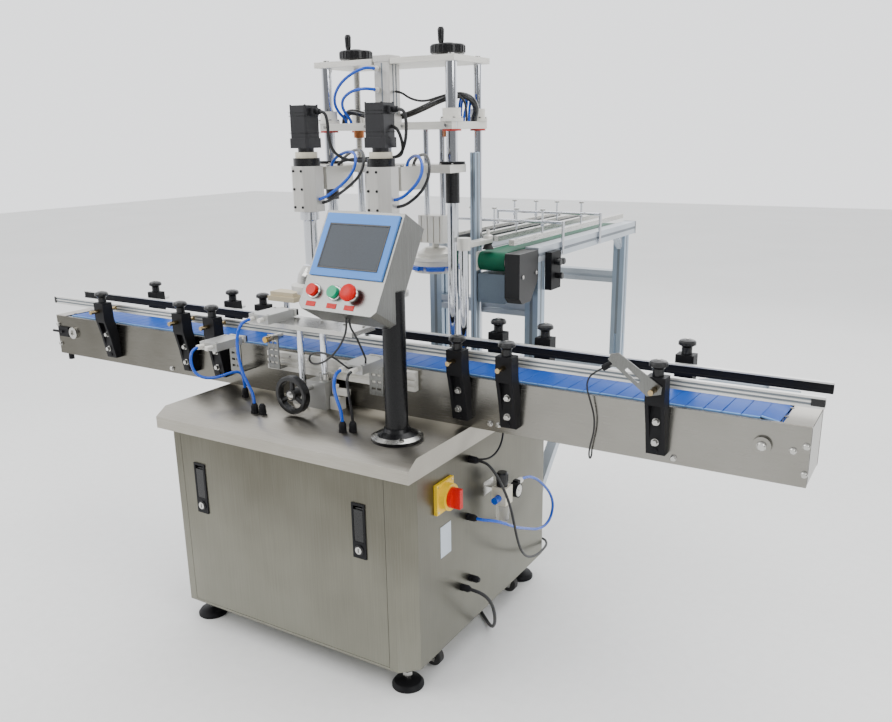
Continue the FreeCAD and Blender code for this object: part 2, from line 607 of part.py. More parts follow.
def regulator_body():
    """Air filter regulator: bracket, body, bowl, gauge and hose fittings."""
    bracket = box(CABINET_HALF, CABINET_HALF + 3, REG_Y - 26, REG_Y + 26, REG_Z - 4, REG_Z + 32)
    arm = box(CABINET_HALF, REG_X - 20, REG_Y - 18, REG_Y + 18, REG_Z + 20, REG_Z + 24)
    body = box(REG_X - 20, REG_X + 20, REG_Y - 20, REG_Y + 20, REG_Z - 24, REG_Z + 24)
    neck = rod(15, (REG_X, REG_Y, REG_Z + 24), (REG_X, REG_Y, REG_Z + 36))
    bore = rod(5.05, (REG_X, REG_Y, REG_Z + 26), (REG_X, REG_Y, REG_Z + 37))
    bowl = turned([(0, -78), (12, -78), (18, -66), (19, -24), (0, -24)], (REG_X, REG_Y, REG_Z))
    gauge = rod(19, (REG_X + 4, REG_Y + 46, REG_Z - 2), (REG_X + 26, REG_Y + 46, REG_Z - 2))
    link = box(REG_X - 6, REG_X + 12, REG_Y + 20, REG_Y + 36, REG_Z - 10, REG_Z + 8)
    inlet = rod(9, (REG_X, REG_Y - 20, REG_Z - 4), (REG_X, REG_Y - 44, REG_Z - 4))
    outlet = rod(8, (REG_X + 12, REG_Y + 64, REG_Z + 12), (REG_X + 12, REG_Y + 84, REG_Z + 12))
    joined = fused([bracket, arm, body, neck, bowl, link, gauge, inlet])
    joined = joined.cut(bore)
    stub = fused([outlet, box(REG_X + 4, REG_X + 20, REG_Y + 52, REG_Y + 66, REG_Z + 4, REG_Z + 20)])
    return fused([joined, stub])


def regulator_knob():
    """Black pressure knob on the regulator."""
    cap = turned([(0, 36.3), (15, 36.3), (15, 58), (12, 62), (0, 62)], (REG_X, REG_Y, REG_Z))
    stem = rod(5, (REG_X, REG_Y, REG_Z + 27), (REG_X, REG_Y, REG_Z + 36.3))
    return fused([cap, stem])


def sensor_unit():
    """Slotted sensor plate on the last bracket, and the barrel sensor on its tip."""
    plate = prism_y([(850, TABLE_TOP + 158), (880, TABLE_TOP + 166), (882, TABLE_TOP + 182),
                     (786, TABLE_TOP + 244),
                     (768, TABLE_TOP + 240), (764, TABLE_TOP + 226)], 225.0, 228.0)
    slot = prism_y([(830, TABLE_TOP + 184), (836, TABLE_TOP + 190), (806, TABLE_TOP + 214),
                    (800, TABLE_TOP + 208)], 220.0, 232.0)
    rod_hole = rod(6.5, (866, 220, ROD_Z), (866, 232, ROD_Z))
    plate = plate.cut(slot).cut(rod_hole)
    tab = box(762, 796, 228, 246, TABLE_TOP + 225, TABLE_TOP + 228)
    sensor = rod(7, (768, 250, TABLE_TOP + 216), (744, 250, TABLE_TOP + 200))
    mount = box(762, 778, 240, 258, TABLE_TOP + 208, TABLE_TOP + 225)
    return fused([plate, tab, mount, sensor])


# ---------------------------------------------------------------- capping gantry
def gantry_posts():
    """Four chromed posts with clamp collars at their feet, and a square back column."""
    posts = []
    for x in POST_XS:
        for y, radius in ((POST_FRONT_Y, FRONT_POST), (POST_BACK_Y, BACK_POST)):
            stem = rod(radius, (x, y, TABLE_TOP), (x, y, TOP_PLATE_Z))
            collar = rod(radius + 14, (x, y, TABLE_TOP), (x, y, TABLE_TOP + 26))
            posts.append(fused([stem, collar]))
    bar_x = POST_XS[1] + 27
    column = box(bar_x - 8, bar_x + 8, 606, 630, TABLE_TOP, PLATFORM_Z - 60)
    tie = box(bar_x - 22, bar_x + 8, 590, 646, TABLE_TOP, TABLE_TOP + 10)
    posts.append(fused([column, tie]))
    return group(posts)


def gantry_top_plate():
    """Fixed top plate with bores for the posts' screws and the two lead screws."""
    plate = box(GANTRY_X - GANTRY_HALF, GANTRY_X + GANTRY_HALF, GANTRY_FRONT, GANTRY_BACK,
                TOP_PLATE_Z, TOP_PLATE_Z + 15)
    for x in LEAD_XS:
        plate = plate.cut(rod(8.05, (x, LEAD_Y, TOP_PLATE_Z - 1), (x, LEAD_Y, TOP_PLATE_Z + 20)))
    plate = plate.cut(box(CYL_X - 29, CYL_X + 29, CYL_Y - 29, CYL_Y + 29, TOP_PLATE_Z - 1, TOP_PLATE_Z + 20))
    bolts = []
    for x in POST_XS:
        for y in (POST_FRONT_Y, POST_BACK_Y):
            bolts.append(rod(8, (x, y, TOP_PLATE_Z + 15), (x, y, TOP_PLATE_Z + 20)))
    return group([plate] + bolts)


def lead_screw(x):
    """Lead screw with its black handwheel and crank handle above the top plate."""
    top = TOP_PLATE_Z + 15
    screw = rod(8, (x, LEAD_Y, LEAD_LOW), (x, LEAD_Y, top + 34))
    stop = rod(14, (x, LEAD_Y, top + FIT), (x, LEAD_Y, top + 8))
    hub = rod(15, (x, LEAD_Y, top + 12), (x, LEAD_Y, top + 36))
    rim = turned([(33, 10), (35, 8), (43, 8), (45, 10), (45, 30), (43, 32), (35, 32), (33, 29)],
                 (x, LEAD_Y, top))
    web = tube(34, 14, (x, LEAD_Y, top + 19), (x, LEAD_Y, top + 24))
    handle_x = x
    handle_y = LEAD_Y - 34
    handle = turned([(0, 24), (6, 24), (6, 34), (8, 40), (9, 66), (6, 72), (0, 72)],
                    (handle_x, handle_y, top))
    return fused([screw, stop, hub, rim, web, handle])


def lift_cylinder():
    """Square profile pneumatic cylinder on the platform that lifts the head carrier."""
    base = PLATFORM_Z + 19
    tube_ = box(CYL_X - 24, CYL_X + 24, CYL_Y - 24, CYL_Y + 24, base, base + 154)
    cap = box(CYL_X - 26, CYL_X + 26, CYL_Y - 26, CYL_Y + 26, base, base + 16)
    crown = box(CYL_X - 26, CYL_X + 26, CYL_Y - 26, CYL_Y + 26, base + 154, base + 170)
    bore = rod(8.05, (CYL_X, CYL_Y, base - 1), (CYL_X, CYL_Y, base + 130))
    return fused([tube_, cap, crown]).cut(bore)


def height_platform():
    """Height adjusting plate with its flange bearings, lead nuts and red scraper rings."""
    plate = box(-218, 212, GANTRY_FRONT, GANTRY_BACK, PLATFORM_Z, PLATFORM_Z + 19)
    flanges = []
    for x in POST_XS:
        for y, radius in ((POST_FRONT_Y, FRONT_POST), (POST_BACK_Y, BACK_POST)):
            gap = radius + 0.05
            plate = plate.cut(rod(gap, (x, y, PLATFORM_Z - 1), (x, y, PLATFORM_Z + 20)))
            flange = tube(radius + 15, gap, (x, y, PLATFORM_Z + 19), (x, y, PLATFORM_Z + 27))
            barrel = tube(radius + 9, gap, (x, y, PLATFORM_Z + 27), (x, y, PLATFORM_Z + 52))
            flanges.append(fused([flange, barrel]))
            flanges.append(tube(radius + 10, gap, (x, y, PLATFORM_Z - 5), (x, y, PLATFORM_Z)))
    for x in LEAD_XS:
        plate = plate.cut(rod(8.05, (x, LEAD_Y, PLATFORM_Z - 1), (x, LEAD_Y, PLATFORM_Z + 20)))
        flanges.append(tube(15, 8.05, (x, LEAD_Y, PLATFORM_Z - 20), (x, LEAD_Y, PLATFORM_Z)))
    plate = plate.cut(rod(8.05, (CYL_X, CYL_Y, PLATFORM_Z - 1), (CYL_X, CYL_Y, PLATFORM_Z + 20)))
    return group([plate] + flanges)


def lid_indexer():
    """Hanger for the lid disc: two rods, a finned actuator block and a bearing plate."""
    rods = [rod(8, (INDEX_X + dx, INDEX_Y, TABLE_TOP + 470), (INDEX_X + dx, INDEX_Y, PLATFORM_Z))
            for dx in (-26, 26)]
    block = box(INDEX_X - 40, INDEX_X + 40, INDEX_Y - 26, INDEX_Y + 26, TABLE_TOP + 394, TABLE_TOP + 470)
    for i in range(4):
        x = INDEX_X - 30 + i * 20
        block = block.cut(box(x - 2, x + 2, INDEX_Y - 30, INDEX_Y - 22, TABLE_TOP + 396, TABLE_TOP + 468))
    seat = rod(10.05, (INDEX_X, INDEX_Y, TABLE_TOP + 390), (INDEX_X, INDEX_Y, TABLE_TOP + 430))
    return fused([block.cut(seat)] + rods)


def lid_disc():
    """Stacked lid indexing discs on a short spindle."""
    spindle = rod(10, (INDEX_X, INDEX_Y, TABLE_TOP + 313), (INDEX_X, INDEX_Y, TABLE_TOP + 425))
    disc = turned([(0, 313), (62, 313), (62, 321), (74, 321), (74, 331), (66, 333), (66, 345), (70, 347),
                   (70, 356), (52, 358), (52, 366), (30, 380), (0, 380)], (INDEX_X, INDEX_Y, TABLE_TOP))
    notches = []
    for i in range(6):
        angle = math.radians(60 * i + 30)
        x = INDEX_X + 74 * math.cos(angle)
        y = INDEX_Y + 74 * math.sin(angle)
        notches.append(rod(14, (x, y, TABLE_TOP + 312), (x, y, TABLE_TOP + 332)))
    return fused([spindle, disc]).cut(Part.makeCompound(notches))


def head_carrier():
    """Moving plate on the front posts, with bushes, cylinder rod and arms to the heads."""
    z0 = CARRIER_Z
    z1 = CARRIER_Z + 21
    plate = box(-221, 214, 505, 588, z0, z1)
    sleeves = []
    for x in POST_XS:
        gap = FRONT_POST + 0.05
        plate = plate.cut(rod(gap, (x, POST_FRONT_Y, z0 - 1), (x, POST_FRONT_Y, z1 + 1)))
        sleeves.append(tube(34, gap, (x, POST_FRONT_Y, z1), (x, POST_FRONT_Y, z1 + 7)))
        sleeves.append(tube(19, gap, (x, POST_FRONT_Y, z0 - 78), (x, POST_FRONT_Y, z0)))
    shapes = [plate]
    for x in HEAD_XS:
        shapes.append(box(x - 32, x + 32, HEAD_Y + HOUSING_HALF, 505, z0 - 40, z1 - 2))
    piston = rod(8, (CYL_X, CYL_Y, z1), (CYL_X, CYL_Y, PLATFORM_Z + 140))
    nut = hexagon(15, (CYL_X, CYL_Y, z1), (CYL_X, CYL_Y, z1 + 12))
    shapes += [piston, nut]
    return group([fused(shapes)] + sleeves)


def square_cut(x, y, half, cut):
    """Plan of a square with its corners cut."""
    return [(x - half, y - half + cut), (x - half + cut, y - half), (x + half - cut, y - half),
            (x + half, y - half + cut), (x + half, y + half - cut), (x + half - cut, y + half),
            (x - half + cut, y + half), (x - half, y + half - cut)]


def capping_heads():
    """Two gear housings with their servo motors on top."""
    shapes = []
    for x in HEAD_XS:
        housing = prism_z(square_cut(x, HEAD_Y, HOUSING_HALF, HOUSING_HALF * 0.586),
                          TABLE_TOP + 496, TABLE_TOP + 612)
        housing = housing.cut(rod(18.05, (x, HEAD_Y, TABLE_TOP + 495), (x, HEAD_Y, TABLE_TOP + 540)))
        flange = rod(35, (x, HEAD_Y, TABLE_TOP + 612), (x, HEAD_Y, TABLE_TOP + 632))
        ring = rod(29, (x, HEAD_Y, TABLE_TOP + 632), (x, HEAD_Y, TABLE_TOP + 647))
        neck = rod(21, (x, HEAD_Y, TABLE_TOP + 647), (x, HEAD_Y, TABLE_TOP + 657))
        adapter = prism_z(square_cut(x, HEAD_Y, 31, 6), TABLE_TOP + 657, TABLE_TOP + 682)
        motor = prism_z(square_cut(x, HEAD_Y, 28, 5), TABLE_TOP + 682, TABLE_TOP + 763)
        plug_box = box(x + 28, x + 40, HEAD_Y - 12, HEAD_Y + 12, TABLE_TOP + 738, TABLE_TOP + 756)
        shapes += [fused([housing, flange, ring]), fused([neck, adapter]), fused([motor, plug_box])]
    return group(shapes)


def spindle(x):
    """Capping spindle: collar, shaft, clutch cone and the cap chuck."""
    profile = [(0, 262), (30, 262), (30, 270), (46, 276), (46, 284), (60, 288), (60, 300), (44, 306),
               (40, 330), (24, 352), (18, 356), (18, 470), (25, 474), (25, 494), (18, 494), (18, 538), (0, 538)]
    body = turned(profile, (x, HEAD_Y, TABLE_TOP))
    return body.cut(turned([(0, 261), (19, 261), (17, 282), (0, 282)], (x, HEAD_Y, TABLE_TOP)))


# ---------------------------------------------------------------- bottle clamps in front of the belt
def slotted_plate(x0, x1, z0, z1, flange_back):
    """Upright bracket with two rows of slots and a flange that reaches back to the panel."""
    plate = box(x0, x1, 226, 229, z0, z1)
    back = box(x0, x1, 229, flange_back, z0, z0 + 3)
    width = x1 - x0
    rows = int((z1 - z0 - 20) // 18)
    for i in range(rows):
        z = z0 + 14 + i * 18
        for part in (0.3, 0.7):
            x = x0 + width * part
            plate = plate.cut(box(x - 6, x + 6, 225, 230, z, z + 6))
    return fused([plate, back])


def clamp_cylinders():
    """Fixed side cylinders on slotted brackets, the gate barrel and the ribbed front profile."""
    shapes = []
    for x in SIDE_CLAMPS.values():
        block = box(x - 31, x + 31, 130, 224, JAW_Z - 11, JAW_Z + 11)
        for dx in (-19, 19):
            block = block.cut(rod(4.05, (x + dx, 150, JAW_Z), (x + dx, 225, JAW_Z)))
        shelf = box(x - 21, x + 21, 190, 226, JAW_Z - 14, JAW_Z - 11)
        bracket = slotted_plate(x - 21, x + 21, TABLE_TOP + 58, JAW_Z - 11, BELT_FRONT)
        fittings = [rod(6, (x + dx, 118, JAW_Z), (x + dx, 130, JAW_Z)) for dx in (-18, 14)]
        shapes.append(fused([block, shelf, bracket] + fittings))
    gate = slotted_plate(-198, -160, TABLE_TOP + 85, TABLE_TOP + 178, 257)
    barrel = rod(8, (-179, 196, TABLE_TOP + 170), (-179, 262, TABLE_TOP + 170))
    shapes.append(fused([gate, barrel]))
    profile = box(-232, 252, 258, 274.7, TABLE_TOP + 72, TABLE_TOP + 122)
    for z in (84, 100):
        profile = profile.cut(box(-233, 253, 257, 264, TABLE_TOP + z, TABLE_TOP + z + 9))
    profile = profile.cut(box(-200, -158, 257, 259, TABLE_TOP + 84, TABLE_TOP + 89))
    shapes.append(profile)
    return group(shapes)


def clamp_stand():
    """Base blocks for the lifting rods, and the back stop behind the belt."""
    left = box(CLAMP_POST_XS[0] - 21, CLAMP_POST_XS[0] + 21, 214, 254, TABLE_TOP, TABLE_TOP + 42)
    right = box(-54, 8, 208, 256, TABLE_TOP, TABLE_TOP + 74)
    collar = rod(16, (CLAMP_POST_XS[0], CLAMP_POST_Y, TABLE_TOP + 42),
                 (CLAMP_POST_XS[0], CLAMP_POST_Y, TABLE_TOP + 62))
    crown = rod(16, (CLAMP_POST_XS[1], CLAMP_POST_Y, TABLE_TOP + 74),
                (CLAMP_POST_XS[1], CLAMP_POST_Y, TABLE_TOP + 92))
    blocks = [fused([left, collar]), fused([right, crown])]
    bored = []
    for x, block in zip(CLAMP_POST_XS, blocks):
        bored.append(block.cut(rod(CLAMP_POST + 0.05, (x, CLAMP_POST_Y, TABLE_TOP + 3),
                                   (x, CLAMP_POST_Y, TABLE_TOP + 100))))
    bored[1] = bored[1].cut(rod(6.05, (WHEEL_X, 200, WHEEL_Z), (WHEEL_X, 244, WHEEL_Z)))
    adjuster = fused([box(10, 40, 222, 250, TABLE_TOP, TABLE_TOP + 34),
                      rod(5, (25, 236, TABLE_TOP + 34), (25, 236, TABLE_TOP + 66)),
                      box(14, 62, 228, 244, TABLE_TOP + 40, TABLE_TOP + 56)])
    stop_post = rod(9, (-345, 476, TABLE_TOP), (-345, 476, TABLE_TOP + 216))
    slab = box(-392, -290, 446, 500, TABLE_TOP + 216, TABLE_TOP + 230)
    cover = box(-386, -296, 452, 500, TABLE_TOP + 230, TABLE_TOP + 243)
    return group(bored + [adjuster, fused([stop_post, slab, cover])])


def clamp_lift():
    """Two lifting rods with the flat arm they carry and the cylinder on it."""
    rods = [rod(CLAMP_POST, (x, CLAMP_POST_Y, TABLE_TOP + 5), (x, CLAMP_POST_Y, ARM_LOW))
            for x in CLAMP_POST_XS]
    arm = box(-200, 135, 165, 262, ARM_LOW, ARM_LOW + 12)
    x = CENTRE_JAW_X
    block = box(x - 32, x + 32, 138, 236, ARM_LOW + 12, ARM_LOW + 36)
    for dx in (-20, 20):
        block = block.cut(rod(5.05, (x + dx, 160, ARM_LOW + 24), (x + dx, 237, ARM_LOW + 24)))
    fittings = [rod(6, (x + dx, 124, ARM_LOW + 24), (x + dx, 138, ARM_LOW + 24)) for dx in (-18, 14)]
    return fused(rods + [arm, block] + fittings)


def clamp_jaw(x, z, start, plate_y, half, rod_radius, spread, pad):
    """Jaw plate with a pad, on two guide rods that slide in the cylinder block."""
    rods = [rod(rod_radius, (x + dx, start, z), (x + dx, plate_y, z)) for dx in (-spread, spread)]
    plate = box(x - half, x + half, plate_y, plate_y + 8, z - 9, z + 9)
    face = box(x - half, x + half, plate_y + 8, plate_y + 8 + pad, z - 8, z + 8)
    notch = prism_z([(x - 16, plate_y + 9 + pad), (x + 16, plate_y + 9 + pad), (x, plate_y + 10)],
                    z - 20, z + 20)
    return fused(rods + [plate, face.cut(notch)])


def clamp_handwheel():
    """Spoked black handwheel with its shaft."""
    rim = turned([(39, -11), (47, -11), (50, -8), (50, 8), (47, 11), (39, 11), (37, 8), (37, -8)],
                 (WHEEL_X, WHEEL_Y, WHEEL_Z), Y_AXIS)
    hub = rod(15, (WHEEL_X, WHEEL_Y - 9, WHEEL_Z), (WHEEL_X, WHEEL_Y + 16, WHEEL_Z))
    shaft = rod(6, (WHEEL_X, WHEEL_Y, WHEEL_Z), (WHEEL_X, 240, WHEEL_Z))
    spokes = []
    for i in range(3):
        angle = math.radians(90 + 120 * i)
        tip = (WHEEL_X + 40 * math.cos(angle), WHEEL_Y, WHEEL_Z + 40 * math.sin(angle))
        spokes.append(rod(6.5, (WHEEL_X, WHEEL_Y, WHEEL_Z), tip))
    return fused([rim, hub, shaft] + spokes)


# ---------------------------------------------------------------- lid placer and lid feeder
def placer_post():
    """Post that the lid arm turns on."""
    base = rod(26, (PIVOT_X, PIVOT_Y, TABLE_TOP), (PIVOT_X, PIVOT_Y, TABLE_TOP + 12))
    post = rod(12, (PIVOT_X, PIVOT_Y, TABLE_TOP), (PIVOT_X, PIVOT_Y, ARM_Z - 6))
    spigot = rod(8, (PIVOT_X, PIVOT_Y, ARM_Z - 6), (PIVOT_X, PIVOT_Y, ARM_Z + 22))
    return fused([base, post, spigot])


def placer_arm():
    """Swinging lid arm with a vacuum cup at its end."""
    hub = rod(18, (PIVOT_X, PIVOT_Y, ARM_Z - 5.5), (PIVOT_X, PIVOT_Y, ARM_Z + 26))
    beam = box(PIVOT_X - 13, PIVOT_X + 13, PIVOT_Y, PIVOT_Y + ARM_REACH, ARM_Z, ARM_Z + 12)
    end_y = PIVOT_Y + ARM_REACH
    cup = turned([(0, -18), (16, -18), (10, -6), (13, 0), (13, 18), (5, 22), (5, 34), (0, 34)],
                 (PIVOT_X, end_y, ARM_Z))
    seat = rod(8.05, (PIVOT_X, PIVOT_Y, ARM_Z - 7), (PIVOT_X, PIVOT_Y, ARM_Z + 23))
    return fused([hub, beam, cup]).cut(seat)


def slotted_beam(x0, x1, y0, y1, z0, z1, axis):
    """Aluminium profile with a slot along the middle of each long side."""
    beam = box(x0, x1, y0, y1, z0, z1)
    cx, cy, cz = (x0 + x1) / 2, (y0 + y1) / 2, (z0 + z1) / 2
    if axis != "x":
        for side in (x0, x1):
            if axis == "y":
                beam = beam.cut(box(side - 5, side + 5, y0, y1, cz - 4, cz + 4))
            else:
                beam = beam.cut(box(side - 5, side + 5, cy - 4, cy + 4, z0, z1))
    if axis != "y":
        for side in (y0, y1):
            if axis == "x":
                beam = beam.cut(box(x0, x1, side - 5, side + 5, cz - 4, cz + 4))
            else:
                beam = beam.cut(box(cx - 4, cx + 4, side - 5, side + 5, z0, z1))
    return beam


def feeder_frame():
    """Profile frame: side beams, legs, cross beams, outriggers to the cabinet, braces and bed."""
    low = FEEDER_TOP - BEAM
    shapes = []
    for x0 in (FEEDER_LEFT, FEEDER_RIGHT - BEAM):
        x1 = x0 + BEAM
        shapes.append(slotted_beam(x0, x1, FEEDER_FRONT, FEEDER_BACK, low, FEEDER_TOP, "y"))
        shapes.append(slotted_beam(x0, x1, FEEDER_FRONT, FEEDER_FRONT + BEAM, TABLE_TOP, low, "z"))
        shapes.append(slotted_beam(x0, x1, LEG_BACK_Y, LEG_BACK_Y + BEAM, OUTRIGGER_Z + BEAM, low, "z"))
        shapes.append(slotted_beam(x0, x1, CABINET_BACK, LEG_BACK_Y + BEAM, OUTRIGGER_Z,
                                   OUTRIGGER_Z + BEAM, "y"))
        brace = prism_x([(CABINET_BACK, OUTRIGGER_Z - 260), (CABINET_BACK, OUTRIGGER_Z - 225),
                         (CABINET_BACK + 225, OUTRIGGER_Z), (CABINET_BACK + 260, OUTRIGGER_Z)],
                        x0 + 5, x1 - 5)
        shapes.append(brace)
        shapes.append(box(x0 - 1, x1 + 1, FEEDER_BACK, FEEDER_BACK + 4, low - 1, FEEDER_TOP + 1))
        for leg_y, side in ((LEG_BACK_Y, -1), (FEEDER_FRONT, 1)):
            face = leg_y if side < 0 else leg_y + BEAM
            shapes.append(prism_x([(face, low), (face + side * 40, low), (face, low - 40)],
                                  x0 + 8, x1 - 8))
    inner = (FEEDER_LEFT + BEAM, FEEDER_RIGHT - BEAM)
    for y, z in ((FEEDER_FRONT, TABLE_TOP + 190), (LEG_BACK_Y, TABLE_TOP + 182), (LEG_BACK_Y, OUTRIGGER_Z)):
        shapes.append(slotted_beam(inner[0], inner[1], y, y + BEAM, z, z + BEAM, "x"))
    shapes.append(box(inner[0], BELT_X0 - 8, FEEDER_FRONT + 14, FEEDER_BACK - 10,
                      FEEDER_TOP - 8, FEEDER_TOP - 5))
    for y in (FEEDER_FRONT + 60, FEEDER_BACK - 120):
        shapes.append(box(inner[0], inner[1], y - 20, y + 20, ROLLER_Z - 4, ROLLER_Z + 4))
    shapes.append(box(BELT_X0 + 4, BELT_X1 - 4, ROLLER_FRONT_Y + 30, ROLLER_BACK_Y - 30,
                      ROLLER_Z + 4, ROLLER_Z + 23.6))
    return group(shapes)


def feeder_lanes():
    """Lane rails over the belts, hung by screws from two bent hold-down rods."""
    low = FEEDER_TOP + 8
    shapes = []
    for x in LANE_XS:
        front = 652 if x > BELT_X1 - 10 else FEEDER_FRONT + 20
        shapes.append(box(x - 8, x + 8, front, FEEDER_BACK + 20, low, low + 15))
    hold_z = FEEDER_TOP + 54
    for y in HOLD_YS:
        left = FEEDER_LEFT - 5
        right = FEEDER_RIGHT + 5
        pieces = [rod(4.5, (left, y, hold_z), (right, y, hold_z)),
                  rod(4.5, (left, y, FEEDER_TOP - 34), (left, y, hold_z + 4.5)),
                  rod(4.5, (right, y, FEEDER_TOP - 34), (right, y, hold_z + 4.5)),
                  rod(8, (left, y, FEEDER_TOP - 30), (left + 4.9, y, FEEDER_TOP - 30)),
                  rod(8, (right - 4.9, y, FEEDER_TOP - 30), (right, y, FEEDER_TOP - 30))]
        for x in LANE_XS:
            pieces.append(rod(3, (x, y, low + 15), (x, y, hold_z + 34)))
            pieces.append(rod(7, (x, y, hold_z + 34), (x, y, hold_z + 38)))
            pieces.append(hexagon(6, (x, y, hold_z - 12), (x, y, hold_z - 6)))
        shapes.append(fused(pieces))
    return group(shapes)


def feeder_belt():
    """Flat belt loop round the two feeder rollers."""
    def loop(radius, x0, x1):
        """Solid loop form at this radius."""
        front = rod(radius, (x0, ROLLER_FRONT_Y, ROLLER_Z), (x1, ROLLER_FRONT_Y, ROLLER_Z))
        back = rod(radius, (x0, ROLLER_BACK_Y, ROLLER_Z), (x1, ROLLER_BACK_Y, ROLLER_Z))
        middle = box(x0, x1, ROLLER_FRONT_Y, ROLLER_BACK_Y, ROLLER_Z - radius, ROLLER_Z + radius)
        return fused([front, back, middle])
    return loop(ROLLER_RADIUS + 2.6, BELT_X0, BELT_X1).cut(
        loop(ROLLER_RADIUS + 0.3, BELT_X0 - 1, BELT_X1 + 1))


def feeder_roller(y):
    """Roller with its journals."""
    barrel = rod(ROLLER_RADIUS, (BELT_X0 + 1, y, ROLLER_Z), (BELT_X1 - 1, y, ROLLER_Z))
    journal = rod(6, (BELT_X0 - 6, y, ROLLER_Z), (BELT_X1 + 8, y, ROLLER_Z))
    return fused([barrel, journal])


def feeder_drive():
    """Belt guard, motor with gearbox, white bearing plates and the speed control box."""
    outline = [(582, TABLE_TOP + 262), (582, TABLE_TOP + 380), (697, TABLE_TOP + 380),
               (697, TABLE_TOP + 300), (650, TABLE_TOP + 245), (600, TABLE_TOP + 245)]
    guard = prism_x(outline, 334, 378)
    motor = box(236, 318, 612, 690, TABLE_TOP + 238, TABLE_TOP + 318)
    neck = box(318, 334, 640, 680, TABLE_TOP + 262, TABLE_TOP + 300)
    plates = []
    for y in (ROLLER_FRONT_Y, ROLLER_BACK_Y):
        for x0 in (BELT_X0 - 7, BELT_X1 + 2):
            plate = box(x0, x0 + 5, y - 24, y + 24, ROLLER_Z - 25, ROLLER_Z + 25)
            plates.append(plate.cut(rod(6.05, (x0 - 5, y, ROLLER_Z), (x0 + 15, y, ROLLER_Z))))
    rail = box(BELT_X1 + 7, 334, 604, 697, ROLLER_Z - 12, ROLLER_Z + 12)
    rail = rail.cut(rod(6.5, (BELT_X1, ROLLER_FRONT_Y, ROLLER_Z), (340, ROLLER_FRONT_Y, ROLLER_Z)))
    control = box(378, 398, 742, 806, TABLE_TOP + 262, TABLE_TOP + 368)
    knobs = [rod(8, (398, y, TABLE_TOP + z), (410, y, TABLE_TOP + z))
             for y, z in ((762, 340), (786, 340), (774, 300))]
    return group([guard, motor, neck] + plates + [rail, fused([control] + knobs)])


# ---------------------------------------------------------------- cords
def corner_radius(before, point, after):
    """Radius of the arc at one point of a route."""
    run_in = point - before
    run_out = after - point
    turn = run_in.getAngle(run_out)
    shorter = min(run_in.Length, run_out.Length)
    return 0.45 * shorter / math.tan(turn / 2)


def cord(name, route, diameter):
    """Round tube along straight runs joined by tangent arcs."""
    points = [V(*p) for p in route]
    edges = []
    start = points[0]
    radii = []
    for before, point, after in zip(points, points[1:], points[2:]):
        run_in = (point - before).normalize()
        run_out = (after - point).normalize()
        turn = run_in.getAngle(run_out)
        radius = corner_radius(before, point, after)
        reach = radius * math.tan(turn / 2)
        first = point - run_in * reach
        last = point + run_out * reach
        inward = (run_out - run_in).normalize()
        centre = point + inward * (radius / math.cos(turn / 2))
        middle = centre - inward * radius
        edges.append(Part.LineSegment(start, first).toShape())
        edges.append(Part.Arc(first, middle, last).toShape())
        start = last
        radii.append(radius)
    edges.append(Part.LineSegment(start, points[-1]).toShape())
    path = Part.Wire(edges)
    circle = Part.Circle(points[0], (points[1] - points[0]).normalize(), diameter / 2).toShape()
    solid = path.makePipeShell([Part.Wire([circle])], True, False)
    length = path.Length
    ratio = solid.Volume / (math.pi * diameter ** 2 / 4 * length)
    print("%-18s length %7.1f  smallest radius %6.1f (%.1f d)  volume ratio %.3f" % (
        name, length, min(radii), min(radii) / diameter, ratio))
    return solid


def mains_coil():
    """Outer form of the coiled part of the mains lead."""
    x, y = COIL_CENTRE
    return tube(COIL_OUTER, COIL_INNER, (x, y, 0), (x, y, COIL_HEIGHT))


def mains_plug():
    """Round industrial plug lying beside the coil, with the strain relief that the lead enters."""
    x, y = COIL_CENTRE
    axis_y = y + COIL_OUTER - 4.5
    relief = rod(5, (x - 28, axis_y, PLUG_RADIUS), (x - 68, axis_y, PLUG_RADIUS))
    grip = rod(15, (x - 68, axis_y, PLUG_RADIUS), (x - 80, axis_y, PLUG_RADIUS))
    body = rod(PLUG_RADIUS, (x - 80, axis_y, PLUG_RADIUS), (x - 134, axis_y, PLUG_RADIUS))
    pins = [rod(3, (x - 134, axis_y + dy, PLUG_RADIUS + dz), (x - 152, axis_y + dy, PLUG_RADIUS + dz))
            for dy, dz in ((-8, -5), (8, -5), (0, 8))]
    return fused([relief, grip, body] + pins)


